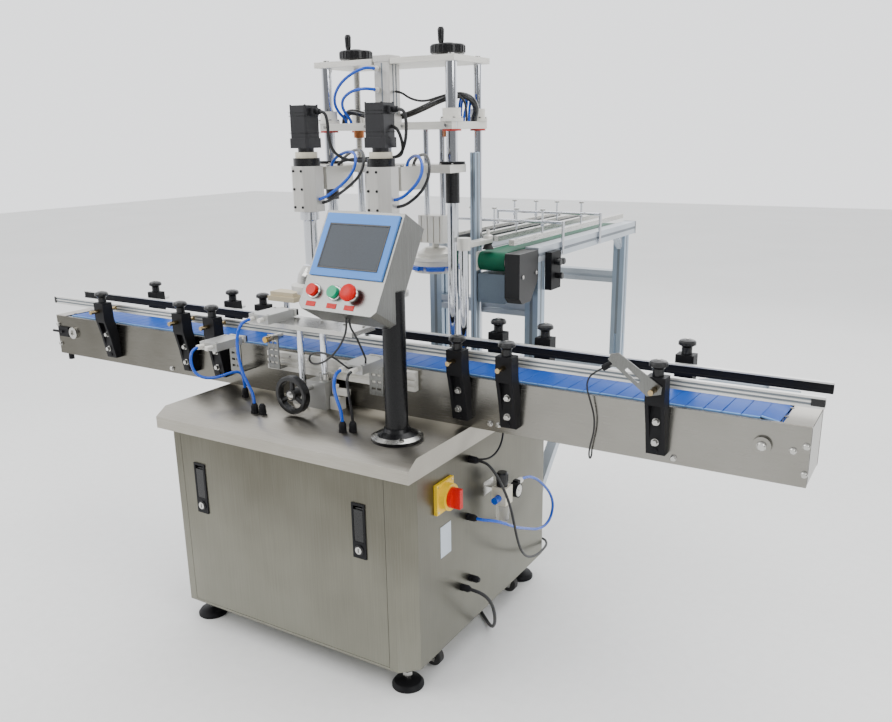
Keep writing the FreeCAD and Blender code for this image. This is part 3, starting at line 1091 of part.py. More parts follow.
# ---------------------------------------------------------------- the whole machine
def main():
    """Builds every node and writes it."""
    os.makedirs("parts", exist_ok=True)
    save("cabinet_shell", cabinet_shell())
    save("tabletop", tabletop())
    save("access_panel", access_panel())
    for side, x in zip(("left", "right"), LATCH_XS):
        save("latch_%s" % side, latch_handle(x))
    save("levelling_feet", levelling_feet())
    save("caster_forks", caster_forks())
    for side, x in (("left", -CASTER_X), ("right", CASTER_X)):
        for end, y in zip(("front", "rear"), CASTER_YS):
            save("caster_wheel_%s_%s" % (end, side), caster_wheel(x, y))
    save("conveyor_panels", group([conveyor_panels(), conveyor_ends()]))
    save("conveyor_chain", conveyor_chain())
    save("drive_shaft", sprocket_shaft(SPROCKET_RIGHT, BELT_BACK + 50))
    save("idler_shaft", sprocket_shaft(SPROCKET_LEFT, BELT_BACK + 3))
    save("conveyor_gearmotor", conveyor_gearmotor())
    save("rail_brackets", group([rail_brackets(), rail_knobs()]))
    save("guide_rail_front", guide_rail(FRONT_RAIL_Y, -1, BELT_FRONT))
    save("guide_rail_rear", guide_rail(REAR_RAIL_Y, 1, BELT_BACK))
    save("hmi_post", hmi_post())
    save("hmi_box", group([hmi_box(), hmi_bezel()]))
    save("stop_button", push_button(STOP_U, 14, 9, 6))
    save("start_button", push_button(START_U, 14, 9, 6))
    save("estop_button", push_button(ESTOP_U, 20, 12, 14))
    save("main_switch_plate", main_switch_plate())
    save("main_switch_knob", main_switch_knob())
    save("cable_glands", cable_glands())
    save("regulator_body", regulator_body())
    save("regulator_knob", regulator_knob())
    save("sensor_unit", sensor_unit())
    save("gantry_posts", group([gantry_posts(), placer_post()]))
    save("gantry_top_plate", gantry_top_plate())
    save("height_platform", group([height_platform(), lift_cylinder(), lid_indexer()]))
    for side, x in zip(("left", "right"), LEAD_XS):
        save("lead_screw_%s" % side, lead_screw(x))
    save("lid_disc", lid_disc())
    save("head_carrier", head_carrier())
    save("capping_heads", capping_heads())
    for side, x in zip(("left", "right"), HEAD_XS):
        save("spindle_%s" % side, spindle(x))
    save("clamp_cylinders", clamp_cylinders())
    save("clamp_stand", clamp_stand())
    save("clamp_lift", clamp_lift())
    save("clamp_handwheel", clamp_handwheel())
    for side, x in SIDE_CLAMPS.items():
        save("clamp_jaw_%s" % side, clamp_jaw(x, JAW_Z, 156, 236, 27, 4, 19, 6))
    save("clamp_jaw_centre", clamp_jaw(CENTRE_JAW_X, ARM_LOW + 24, 166, 242, 30, 5, 20, 8))
    save("placer_arm", placer_arm())
    save("feeder_frame", group([feeder_frame(), feeder_lanes()]))
    save("feeder_belt", feeder_belt())
    save("feeder_roller_front", feeder_roller(ROLLER_FRONT_Y))
    save("feeder_roller_rear", feeder_roller(ROLLER_BACK_Y))
    save("feeder_drive", feeder_drive())
    save("mains_lead", cord("mains_lead", MAINS_ROUTE, MAINS_DIAMETER))
    save("mains_coil", mains_coil())
    save("mains_plug", mains_plug())
    save("hose_regulator", cord("hose_regulator", REGULATOR_ROUTE, HOSE_DIAMETER))
    save("hose_arm", cord("hose_arm", ARM_HOSE_ROUTE, HOSE_DIAMETER))
    save("cable_rear", cord("cable_rear", REAR_CABLE_ROUTE, REAR_CABLE_DIAMETER))
    save("cable_sensor", cord("cable_sensor", SENSOR_ROUTE, SENSOR_CABLE_DIAMETER))


main()
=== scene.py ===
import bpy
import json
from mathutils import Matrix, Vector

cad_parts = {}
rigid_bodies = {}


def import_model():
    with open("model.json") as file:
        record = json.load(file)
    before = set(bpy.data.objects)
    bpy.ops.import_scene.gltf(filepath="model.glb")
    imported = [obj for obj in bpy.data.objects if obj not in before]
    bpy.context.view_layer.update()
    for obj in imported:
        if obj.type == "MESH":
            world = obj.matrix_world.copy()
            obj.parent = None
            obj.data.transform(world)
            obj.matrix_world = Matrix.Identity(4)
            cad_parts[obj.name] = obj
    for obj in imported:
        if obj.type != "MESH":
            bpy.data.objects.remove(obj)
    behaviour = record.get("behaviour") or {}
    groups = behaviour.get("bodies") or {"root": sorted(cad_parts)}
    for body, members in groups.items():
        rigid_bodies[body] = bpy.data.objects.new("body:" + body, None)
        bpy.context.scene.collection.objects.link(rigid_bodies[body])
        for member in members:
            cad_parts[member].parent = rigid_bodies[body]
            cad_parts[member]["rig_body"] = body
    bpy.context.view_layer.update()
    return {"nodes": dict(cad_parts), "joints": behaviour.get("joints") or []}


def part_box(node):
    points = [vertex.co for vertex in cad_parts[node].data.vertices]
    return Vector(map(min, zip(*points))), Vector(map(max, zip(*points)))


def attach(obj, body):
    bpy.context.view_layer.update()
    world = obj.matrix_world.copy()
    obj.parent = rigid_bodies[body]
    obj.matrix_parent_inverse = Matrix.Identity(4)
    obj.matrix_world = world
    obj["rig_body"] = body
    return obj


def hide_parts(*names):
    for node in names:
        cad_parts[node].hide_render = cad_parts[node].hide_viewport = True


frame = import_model()
import json
import logging
import math
from dataclasses import dataclass
from enum import Enum
from typing import Callable, Optional, Sequence

import bmesh
import bpy
import numpy as np
from mathutils import Matrix, Vector

LOG = logging.getLogger("capping_machine")
WAVES = 2 / 6.283                        # wave scale of one ring per unit
FAR = 9e3                                # beyond the machine on every side, in millimetres
STREAK_DEPTH = 0.0004                    # relief of streaks and of thread rings, in metres
RING_DEPTH = 0.0008
SMOOTH = 32.0                            # flatter edges are shaded smooth, in degrees
Array = np.ndarray
Point = tuple[float, float, float]
Rule = tuple["Finish", Callable[[Array, Array], Array]]


class Grain(Enum):
    """Direction in which a sheet or bar was brushed or drawn."""

    NONE = (1.0, 1.0, 1.0)
    ACROSS = (0.02, 1.0, 1.0)
    DEEP = (1.0, 0.02, 1.0)
    UPRIGHT = (1.0, 1.0, 0.012)


@dataclass(frozen=True)
class Finish:
    """How one surface was made and what that gives the eye.

    Lengths of patterns are in millimetres; colours are sRGB hex values.
    """

    name: str
    light: str
    dark: str
    metal: float = 0.0
    rough: float = 0.4
    spread: float = 0.08
    grain_mm: float = 1.4
    bump: float = 0.05
    grain: Grain = Grain.NONE
    cloud_mm: float = 160.0
    coat: float = 0.0
    glass: float = 0.0
    ring_mm: float = 0.0
    edge_mm: float = 0.7
    shine: float = 0.5
    # Painted reflection: axis, start and end of a colour ramp from the dark colour towards the light one.
    fade: tuple[float, ...] = ()


# Stainless sheet, brushed upright on the doors and across on the table: soft streaks, warm grey.
# The slow ramps from light to dark are a painted reflection of the room in the sheets; the doors are painted
# lighter towards the bottom.
DOOR_SHEET = Finish("brushed_stainless_door", "#8c8b80", "#57544a", 1.0, 0.33, 0.02, 1.6, 0.015,
                    Grain.UPRIGHT,
                    fade=(2, 560.0, 90.0))
TABLE_SHEET = Finish("brushed_stainless_table", "#a6a299", "#959188", 1.0, 0.30, 0.02, 1.4, 0.01,
                     Grain.ACROSS)
# Painted reflection: the panel sheet is painted darker towards its left end.
PANEL_SHEET = Finish("bright_stainless_panel", "#92908a", "#57544c", 1.0, 0.26, 0.02, 1.2, 0.01, Grain.ACROSS,
                     fade=(0, -1100.0, 800.0))
BOX_SHEET = Finish("brushed_stainless_box", "#7f807e", "#6d6d6a", 1.0, 0.28, 0.02, 1.2, 0.01, Grain.UPRIGHT)
# Hard chrome on ground bar: mirror bright, faint lengthwise change.
CHROME = Finish("hard_chrome", "#dfe1e6", "#cfd2d8", 1.0, 0.08, 0.02, 2.0, 0.0)
# Machined steel: satin turned surface.
STEEL = Finish("machined_steel", "#c6c5c1", "#adaca8", 1.0, 0.24, 0.06, 1.0, 0.02)
# Anodised aluminium plate and profile: pale, silky, slightly warm.
ALUMINIUM = Finish("anodised_aluminium", "#e0ded7", "#d0cec6", 0.55, 0.38, 0.05, 1.2, 0.02, Grain.ACROSS)
PROFILE = Finish("drawn_aluminium_profile", "#c8cfd6", "#b4bcc5", 0.6, 0.34, 0.04, 1.0, 0.02, Grain.DEEP)
UPRIGHT_ALUMINIUM = Finish("drawn_aluminium_leg", "#aabaca", "#98a9ba", 0.6, 0.34, 0.04, 1.0, 0.02,
                           Grain.UPRIGHT)
CYLINDER = Finish("hard_anodised_cylinder", "#bdbdba", "#a9a9a6", 0.6, 0.36, 0.06, 0.8, 0.02)
# Nylon mouldings: near black, fine spark-eroded texture.
NYLON = Finish("glass_filled_nylon", "#17171a", "#0e0e10", 0.0, 0.50, 0.08, 1.0, 0.05, shine=0.18)
KNOB = Finish("phenolic_knob", "#18181a", "#0e0e0f", 0.0, 0.30, 0.06, 2.0, 0.02, coat=0.15, shine=0.35)
# Powder coat: smooth orange peel about 2 mm across.
BLACK_COAT = Finish("black_powder_coat", "#0f0f11", "#09090b", 0.0, 0.26, 0.05, 2.2, 0.03, shine=0.25)
MOTOR_PAINT = Finish("motor_enamel", "#3a3a3c", "#2d2d2f", 0.4, 0.32, 0.05, 1.6, 0.03)
GREY_PAINT = Finish("blue_grey_enamel", "#71808d", "#62707d", 0.1, 0.38, 0.06, 1.6, 0.03)
GUARD_PAINT = Finish("guard_enamel", "#29292a", "#1d1d1e", 0.1, 0.40, 0.06, 1.6, 0.04, shine=0.4)
# Acetal chain links: dyed through, polished by the bottles; the lighter blue of the front edges is a painted
# highlight.
CHAIN = Finish("acetal_chain_link", "#1d57b4", "#164a9f", 0.0, 0.42, 0.06, 3.0, 0.02, Grain.ACROSS,
               shine=0.16)
CHAIN_EDGE_HIGHLIGHT = Finish("acetal_chain_edge_highlight", "#7fb0ea", "#6a9bd9", 0.0, 0.40, 0.06, 2.0, 0.02, shine=0.3)
WHITE = Finish("white_acetal", "#e8e6df", "#d9d6cd", 0.0, 0.38, 0.06, 1.5, 0.02)
CREAM = Finish("cream_polyamide", "#dcd6c3", "#cbc4b0", 0.0, 0.42, 0.06, 1.5, 0.03)
BEIGE = Finish("beige_laminate", "#cdbf9f", "#b9ab8c", 0.0, 0.5, 0.06, 2.0, 0.04)
RED = Finish("red_button_plastic", "#cf160f", "#b80f09", 0.0, 0.30, 0.05, 2.0, 0.01, shine=0.2)
GREEN = Finish("green_button_plastic", "#12a878", "#0d9468", 0.0, 0.30, 0.05, 2.0, 0.01, shine=0.25)
YELLOW = Finish("yellow_switch_plastic", "#f0c81e", "#deb40f", 0.0, 0.36, 0.05, 2.0, 0.02)
BEZEL_BLUE = Finish("light_blue_bezel", "#5c93dd", "#5188d2", 0.0, 0.45, 0.04, 1.0, 0.02, shine=0.15)
SCREEN = Finish("display_glass", "#222e3a", "#18222c", 0.0, 0.20, 0.02, 3.0, 0.0, shine=0.25)
HOSE_BLUE = Finish("blue_polyurethane_hose", "#1457cc", "#0f4ab6", 0.0, 0.22, 0.04, 3.0, 0.01, coat=0.15,
                   shine=0.4)
HOSE_BLACK = Finish("black_polyurethane_hose", "#1e1e20", "#141416", 0.0, 0.28, 0.05, 3.0, 0.01, coat=0.3)
CABLE = Finish("black_cable_jacket", "#202021", "#171718", 0.0, 0.5, 0.08, 2.0, 0.04)
RUBBER = Finish("black_rubber", "#232221", "#181716", 0.0, 0.62, 0.08, 1.5, 0.08)
BELT_COVER = Finish("green_belt_cover", "#12654a", "#0d553c", 0.0, 0.50, 0.06, 1.5, 0.05, Grain.DEEP,
                    shine=0.2)
BRASS = Finish("turned_brass", "#c9a45a", "#b18c45", 1.0, 0.26, 0.08, 1.0, 0.02)
COPPER = Finish("bronze_nut", "#b9784e", "#a2653f", 0.95, 0.30, 0.08, 1.0, 0.03)
SCRAPER_RED = Finish("red_scraper_ring", "#b83127", "#9d261e", 0.0, 0.4, 0.06, 1.5, 0.02)
BOWL = Finish("clear_bowl", "#cfcdc4", "#bdbbb1", 0.0, 0.12, 0.03, 3.0, 0.0, glass=0.6)
THREAD = Finish("rolled_screw_thread", "#bdbbb6", "#8f8d88", 0.95, 0.28, 0.08, 1.0, 0.02, ring_mm=4.0)
# Bars, housings and rods of their own tint, and the painted shade at the bottom of a groove.
PROFILE_ALONG = Finish("drawn_aluminium_rail", "#e2e2df", "#d2d2cf", 0.55, 0.32, 0.05, 1.0, 0.02,
                       Grain.ACROSS)
UPRIGHT_PALE = Finish("anodised_housing", "#d4d2cd", "#c4c2bd", 0.6, 0.34, 0.05, 1.2, 0.02, Grain.UPRIGHT)
ALUMINIUM_DEEP = Finish("drawn_lane_bar", "#d6d4cd", "#c6c4bd", 0.7, 0.28, 0.04, 1.0, 0.02, Grain.DEEP)
ROD_BRONZE = Finish("bronze_tinted_rod", "#b7a27c", "#a38f69", 1.0, 0.22, 0.05, 1.0, 0.02)
LABEL = Finish("blank_label", "#c9d3dc", "#bec9d3", 0.0, 0.5, 0.04, 2.0, 0.01)
SLOT_SHADE = Finish("painted_slot_shade", "#80878e", "#727980", 0.5, 0.45, 0.05, 1.0, 0.02)
RED_PLUG = Finish("red_plug_housing", "#c6322a", "#a92720", 0.0, 0.4, 0.05, 2.0, 0.02)
# Painted floor, with very wide and faint clouds.
FLOOR = Finish("pale_floor", "#f1f1ef", "#ebebe9", 0.0, 0.60, 0.04, 30.0, 0.0, cloud_mm=900.0)


def linear(code: str) -> tuple[float, float, float, float]:
    """Turns an sRGB hex value into linear colour.

    Args:
        code: colour such as "#a0b0c0".

    Returns:
        Red, green, blue and alpha from 0 to 1.
    """
    values = [int(code[i:i + 2], 16) / 255 for i in (1, 3, 5)]
    spread = [v / 12.92 if v <= 0.04045 else ((v + 0.055) / 1.055) ** 2.4 for v in values]
    return (spread[0], spread[1], spread[2], 1.0)


def add_node(tree: bpy.types.NodeTree, kind: str, values: Optional[dict] = None,
             **settings: object) -> bpy.types.Node:
    """Adds one node.

    Args:
        tree: node tree that gets it.
        kind: node type without its ShaderNode prefix.
        values: socket name or number to a value, or to an output socket to link from.
        settings: attributes of the node.

    Returns:
        The new node.
    """
    node = tree.nodes.new("ShaderNode" + kind)
    for key, value in settings.items():
        setattr(node, key, value)
    for key, value in (values or {}).items():
        if isinstance(value, bpy.types.NodeSocket):
            tree.links.new(value, node.inputs[key])
        else:
            node.inputs[key].default_value = value
    return node


class Finisher:
    """Makes each finish once, as a node material on object coordinates."""

    def __init__(self) -> None:
        """Starts with no materials made."""
        self.made: dict[str, bpy.types.Material] = {}

    def material(self, finish: Finish) -> bpy.types.Material:
        """Gives the material of a finish, and builds it on first use.

        Args:
            finish: the finish wanted.

        Returns:
            Its material.
        """
        if finish.name not in self.made:
            self.made[finish.name] = self.build(finish)
        return self.made[finish.name]

    def build(self, finish: Finish) -> bpy.types.Material:
        """Builds a finish: streaks from stretched noise, clouds from wide noise, rounded edges.

        Args:
            finish: the finish to build.

        Returns:
            The new material.
        """
        material = bpy.data.materials.new(finish.name)
        material.use_nodes = True
        tree = material.node_tree
        tree.nodes.clear()
        place = add_node(tree, "TexCoord").outputs["Object"]
        stretch = [component * 1000 / finish.grain_mm for component in finish.grain.value]
        streak_place = add_node(tree, "Mapping", {"Vector": place, "Scale": stretch}).outputs[0]
        streak = add_node(tree, "TexNoise", {"Vector": streak_place, "Scale": 1.0, "Detail": 3.0,
                                             "Roughness": 0.55}).outputs["Fac"]
        cloud = add_node(tree, "TexNoise", {"Vector": place, "Scale": 1000 / finish.cloud_mm,
                                            "Detail": 2.0}).outputs["Fac"]
        blend = add_node(tree, "Math", {0: streak, 1: cloud}, operation="ADD").outputs[0]
        share = add_node(tree, "MapRange", {"Value": blend, "From Min": 0.7, "From Max": 1.3,
                                            "To Min": 0.0, "To Max": 1.0}).outputs[0]
        # Painted reflection: the colour is ramped along one axis, dark at the start and light at the end.
        if finish.fade:
            axis, start, end = finish.fade
            way = add_node(tree, "SeparateXYZ", {"Vector": place}).outputs[int(axis)]
            ramp = add_node(tree, "MapRange", {"Value": way, "From Min": start / 1000, "From Max": end / 1000,
                                               "To Min": 0.0, "To Max": 0.75}).outputs[0]
            share = add_node(tree, "Math", {0: share, 1: 0.25, 2: ramp}, operation="MULTIPLY_ADD").outputs[0]
        colour = add_node(tree, "Mix", {0: share, 6: linear(finish.dark), 7: linear(finish.light)},
                          data_type="RGBA")
        low = max(0.02, finish.rough - finish.spread)
        rough = add_node(tree, "MapRange", {"Value": streak, "From Min": 0.3, "From Max": 0.7, "To Min": low,
                                            "To Max": finish.rough + finish.spread}).outputs[0]
        edge = add_node(tree, "Bevel", {"Radius": finish.edge_mm / 1000}, samples=3).outputs[0]
        height, strength, distance = streak, finish.bump, STREAK_DEPTH
        if finish.ring_mm:
            height = add_node(tree, "TexWave", {"Vector": place, "Scale": 1000 / finish.ring_mm * WAVES},
                              bands_direction="Z").outputs["Fac"]
            strength, distance = 0.8, RING_DEPTH
        relief = add_node(tree, "Bump", {"Height": height, "Strength": strength, "Distance": distance,
                                         "Normal": edge}).outputs[0]
        shader = add_node(tree, "BsdfPrincipled", {
            "Base Color": colour.outputs[2], "Metallic": finish.metal, "Roughness": rough, "Normal": relief,
            "Specular IOR Level": finish.shine, "Coat Weight": finish.coat, "Coat Roughness": 0.12,
            "Transmission Weight": finish.glass})
        add_node(tree, "OutputMaterial", {"Surface": shader.outputs[0]})
        return material


class Datum:
    """Turns machine millimetres into the frame's metres.

    x is measured from the table's centre, y from its front edge and z from the floor.
    """

    def __init__(self) -> None:
        """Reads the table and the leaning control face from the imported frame."""
        low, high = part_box("tabletop")
        self.origin = np.array([(low.x + high.x) / 2, low.y, 0.0])
        self.table = high.z * 1000
        joint = next(j for j in frame["joints"] if j["name"] == "stop_button_press")
        out = -np.array(joint["axis"], float)
        self.face_out = out / np.linalg.norm(out)
        across = np.cross([0, 0, 1], self.face_out)
        self.face_across = across / np.linalg.norm(across)
        self.face_up = np.cross(self.face_out, self.face_across)
        self.face_foot = np.array([193.0, 32.0, self.table + 309.0])

    def metres(self, points: Array) -> Array:
        """Gives points in the frame, in metres, from machine millimetres."""
        return np.asarray(points, float) / 1000 + self.origin

    def millimetres(self, points: Array) -> Array:
        """Gives points in machine millimetres, from the frame's metres."""
        return (np.asarray(points, float) - self.origin) * 1000

    def on_face(self, points: Array) -> Array:
        """Gives machine places of points (across, up, out) on the leaning control face."""
        p = np.asarray(points, float)
        return (self.face_foot + p[..., :1] * self.face_across + p[..., 1:2] * self.face_up
                + p[..., 2:] * self.face_out)

    def from_face(self, points: Array) -> Array:
        """Gives (across, up, out) on the control face of machine places."""
        p = np.asarray(points, float) - self.face_foot
        return np.stack([p @ self.face_across, p @ self.face_up, p @ self.face_out], -1)


# ------------------------------------------------------------------ surfaces on a grid
def around(profile: Sequence[tuple[float, float]], base: Point, axis: Point = (0, 0, 1),
           sides: int = 28, turn: float = 0.0) -> Array:
    """Surface of revolution: each profile radius times a unit circle, moved up the axis by its height.

    Args:
        profile: radius and height pairs, none with radius 0.
        base: place of height 0.
        axis: direction of the axis.
        sides: points round the circle.
        turn: angle of the first point, in degrees.

    Returns:
        Rings of points, shape (profile, sides, 3).
    """
    way = np.array(axis, float) / np.linalg.norm(axis)
    helper = np.array([0.0, 0.0, 1.0]) if abs(way[2]) < 0.9 else np.array([1.0, 0.0, 0.0])
    first = np.cross(helper, way)
    first /= np.linalg.norm(first)
    second = np.cross(way, first)
    angle = np.radians(turn) + np.linspace(0, 2 * np.pi, sides, endpoint=False)
    circle = np.cos(angle)[:, None] * first + np.sin(angle)[:, None] * second
    table = np.asarray(profile, float)
    return np.array(base, float) + table[:, 0, None, None] * circle + table[:, 1, None, None] * way


def rod(radius: float, start: Point, end: Point, edge: float = 0.6, sides: int = 24) -> Array:
    """Round bar with chamfered ends: a revolved profile of four rings between two points."""
    way = np.subtract(end, start)
    length = float(np.linalg.norm(way))
    return around([(radius - edge, 0), (radius, edge), (radius, length - edge), (radius - edge, length)],
                  start, tuple(way), sides)


def stud(radius: float, x: float, y: float, z: float, rise: float, edge: float = 0.4, sides: int = 14
         ) -> Array:
    """Low round head on an upright axis: a chamfered bar from its seat up by its rise."""
    return rod(radius, (x, y, z), (x, y, z + rise), edge, sides)


def hexagon(radius: float, start: Point, end: Point) -> Array:
    """Hexagonal head between two points: a revolved profile of six sides."""
    return rod(radius, start, end, 0.5, 6)


def slab(x0: float, x1: float, y0: float, y1: float, z0: float, z1: float, edge: float = 0.8) -> Array:
    """Block with every edge cut at 45 degrees: an eight-cornered outline, drawn in at its two ends."""
    def outline(inset: float, z: float) -> Array:
        """Gives the outline at one height, moved in by inset."""
        a, b, c, d = x0 + inset, x1 - inset, y0 + inset, y1 - inset
        corners = [(a + edge, c), (b - edge, c), (b, c + edge), (b, d - edge), (b - edge, d), (a + edge, d),
                   (a, d - edge), (a, c + edge)]
        return np.array([(x, y, z) for x, y in corners], float)
    return np.stack([outline(edge, z0), outline(0, z0 + edge), outline(0, z1 - edge), outline(edge, z1)])


def extruded(outline: Sequence[tuple[float, float]], x0: float, x1: float) -> Array:
    """Bar along x: the outline, given as (y, z), carried from x0 to x1."""
    rows = np.array([(0.0, y, z) for y, z in outline], float)
    return np.stack([rows + [x0, 0, 0], rows + [x1, 0, 0]])


def placed(name: str, data: bpy.types.ID, body: str, replaces: Sequence[str] = ()
           ) -> bpy.types.Object:
    """Puts a mesh or curve in the scene as a piece.

    Args:
        name: the piece's name.
        data: its mesh or curve.
        body: CAD body that it rides on.
        replaces: CAD nodes that it stands for.

    Returns:
        The new object.
    """
    obj = bpy.data.objects.new(name, data)
    bpy.context.scene.collection.objects.link(obj)
    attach(obj, body)
    if replaces:
        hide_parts(*replaces)
    return obj


def shade(mesh: bpy.types.Mesh) -> None:
    """Shades a mesh smooth up to its sharp edges."""
    mesh.shade_smooth()
    mesh.set_sharp_from_angle(angle=math.radians(SMOOTH))


class Batch:
    """Closed surfaces of one finish, gathered into one piece."""

    def __init__(self, datum: Datum) -> None:
        """Starts empty, on the datum."""
        self.datum = datum
        self.rings: list[Array] = []

    def add(self, *rings: Array) -> "Batch":
        """Adds ring surfaces given in machine millimetres."""
        self.rings.extend(rings)
        return self

    def add_on_face(self, *rings: Array) -> "Batch":
        """Adds ring surfaces given on the leaning control face."""
        self.rings.extend(self.datum.on_face(r) for r in rings)
        return self

    def piece(self, name: str, finish: Finish, body: str, slot: str,
              replaces: Sequence[str] = ()) -> bpy.types.Object:
        """Makes the piece: neighbouring rings joined by quads, and each end closed by one face.

        Args:
            name: the piece's name.
            finish: its finish.
            body: CAD body that it rides on.
            slot: the record's material slot; not used.
            replaces: CAD nodes that it stands for.

        Returns:
            The new object.
        """
        verts: list[Array] = []
        faces: list[list[int]] = []
        offset = 0
        for rings in self.rings:
            count, sides, _ = rings.shape
            index = offset + np.arange(count * sides).reshape(count, sides)
            nxt = np.roll(index, -1, axis=1)
            quads = np.stack([index[:-1], nxt[:-1], nxt[1:], index[1:]], -1).reshape(-1, 4)
            faces.extend(quads.tolist())
            faces.append(index[0, ::-1].tolist())
            faces.append(index[-1].tolist())
            verts.append(rings.reshape(-1, 3))
            offset += count * sides
        mesh = bpy.data.meshes.new(name)
        mesh.from_pydata(self.datum.metres(np.concatenate(verts)).tolist(), [], faces)
        outward(mesh)
        mesh.materials.append(FINISHER.material(finish))
        shade(mesh)
        obj = placed(name, mesh, body, replaces)
        LOG.info("%s: %d faces on %s", name, len(mesh.polygons), body)
        return obj


def outward(mesh: bpy.types.Mesh) -> None:
    """Turns every closed surface's faces outwards.

    Args:
        mesh: the mesh to change.
    """
    work = bmesh.new()
    work.from_mesh(mesh)
    bmesh.ops.recalc_face_normals(work, faces=work.faces)
    work.to_mesh(mesh)
    work.free()


def within(x0: float = -FAR, x1: float = FAR, y0: float = -FAR, y1: float = FAR, z0: float = -FAR,
           z1: float = FAR) -> Callable[[Array, Array], Array]:
    """Region test for faces whose centre lies in a box of machine millimetres."""
    low = np.array([x0, y0, z0])
    high = np.array([x1, y1, z1])
    return lambda centres, normals: np.all((centres > low) & (centres < high), axis=1)


def near(spots: Sequence[tuple[float, float]], radius: float, z0: float, z1: float
         ) -> Callable[[Array, Array], Array]:
    """Region test for faces within a radius of upright axes, between two heights."""
    def test(centres: Array, normals: Array) -> Array:
        """Tests each face centre against every axis."""
        gap = np.min([np.hypot(centres[:, 0] - x, centres[:, 1] - y) for x, y in spots], axis=0)
        return (gap < radius) & (centres[:, 2] > z0) & (centres[:, 2] < z1)
    return test


def dress(datum: Datum, node: str, base: Finish, slot: str, *rules: Rule) -> bpy.types.Object:
    """Stands a merged copy in for a CAD node and gives each face its finish by where it lies.

    Args:
        datum: the machine datum.
        node: CAD node to dress.
        base: finish of faces that no rule takes.
        slot: the record's material slot; not used.
        rules: finish and region pairs; the last that holds wins.

    Returns:
        The dressed piece.
    """
    source = frame["nodes"][node]
    mesh = bpy.data.meshes.new(node + "_dressed")
    work = bmesh.new()
    work.from_mesh(source.data)
    bmesh.ops.remove_doubles(work, verts=work.verts, dist=2e-6)
    work.to_mesh(mesh)
    work.free()
    if "custom_normal" in mesh.attributes:
        mesh.attributes.remove(mesh.attributes["custom_normal"])
    mesh.materials.clear()
    mesh.materials.append(FINISHER.material(base))
    count = len(mesh.polygons)
    centres = np.zeros(count * 3)
    normals = np.zeros(count * 3)
    mesh.polygons.foreach_get("center", centres)
    mesh.polygons.foreach_get("normal", normals)
    centres = datum.millimetres(centres.reshape(-1, 3))
    normals = normals.reshape(-1, 3)
    index = np.zeros(count, int)
    for number, (finish, test) in enumerate(rules, 1):
        mesh.materials.append(FINISHER.material(finish))
        index[test(centres, normals)] = number
    mesh.polygons.foreach_set("material_index", index)
    shade(mesh)
    obj = placed(node + "_dressed", mesh, source["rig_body"], [node])
    LOG.info("%s: %d faces, %d finishes", obj.name, count, len(rules) + 1)
    return obj


# ------------------------------------------------------------------ cords
@dataclass
class Cord:
    """One free hose, cable or lead on a smooth line through its route, in machine millimetres."""

    name: str
    route: list[Point]
    diameter: float
    finish: Finish
    slot: str
    far_end: str = "object"
    stiffness: str = "medium"
    body: str = "machine"
    stands_for: tuple[str, ...] = ()
    with_pieces: tuple = ()

    def build(self, datum: Datum) -> bpy.types.Object:
        """Args:
            datum: the machine datum.

        Returns:
            The curve object.
        """
        points = datum.metres(np.array(self.route, float))
        curve = bpy.data.curves.new(self.name, "CURVE")
        curve.dimensions = "3D"
        curve.bevel_depth = self.diameter / 2000
        curve.bevel_resolution = 4
        curve.resolution_u = 8
        curve.use_fill_caps = True
        spline = curve.splines.new("NURBS")
        spline.points.add(len(points) - 1)
        flat = np.concatenate([points, np.ones((len(points), 1))], axis=1).ravel()
        spline.points.foreach_set("co", flat)
        spline.order_u = 3
        spline.use_endpoint_u = True
        curve.materials.append(FINISHER.material(self.finish))
        obj = placed(self.name, curve, self.body, self.stands_for)
        return obj


def coil_route(centre: tuple[float, float], arrival: list[Point], leave: list[Point]) -> list[Point]:
    """Route of a lead that is wound into a flat coil: radius and height follow the number of turns.

    Args:
        centre: the coil's centre in plan, in millimetres.
        arrival: points before the coil.
        leave: points after it.

    Returns:
        The whole route.
    """
    start = math.radians(-36.5)
    turns = np.arange(0.0, 5.34, 1 / 14)
    stops = [0.0, 2.0, 2.25, 2.5, 4.5, 4.75, 5.0, 5.4]
    radius = np.interp(turns, stops, [59.5, 40.5, 39.0, 40.5, 59.5, 61.0, 59.5, 59.5])
    height = np.interp(turns, stops, [5.0, 5.0, 9.3, 13.9, 13.9, 18.2, 22.6, 22.2])
    angle = start + 2 * np.pi * turns
    rows = np.stack([centre[0] + radius * np.cos(angle), centre[1] + radius * np.sin(angle), height], 1)
    return arrival + [tuple(row) for row in rows.tolist()] + leave


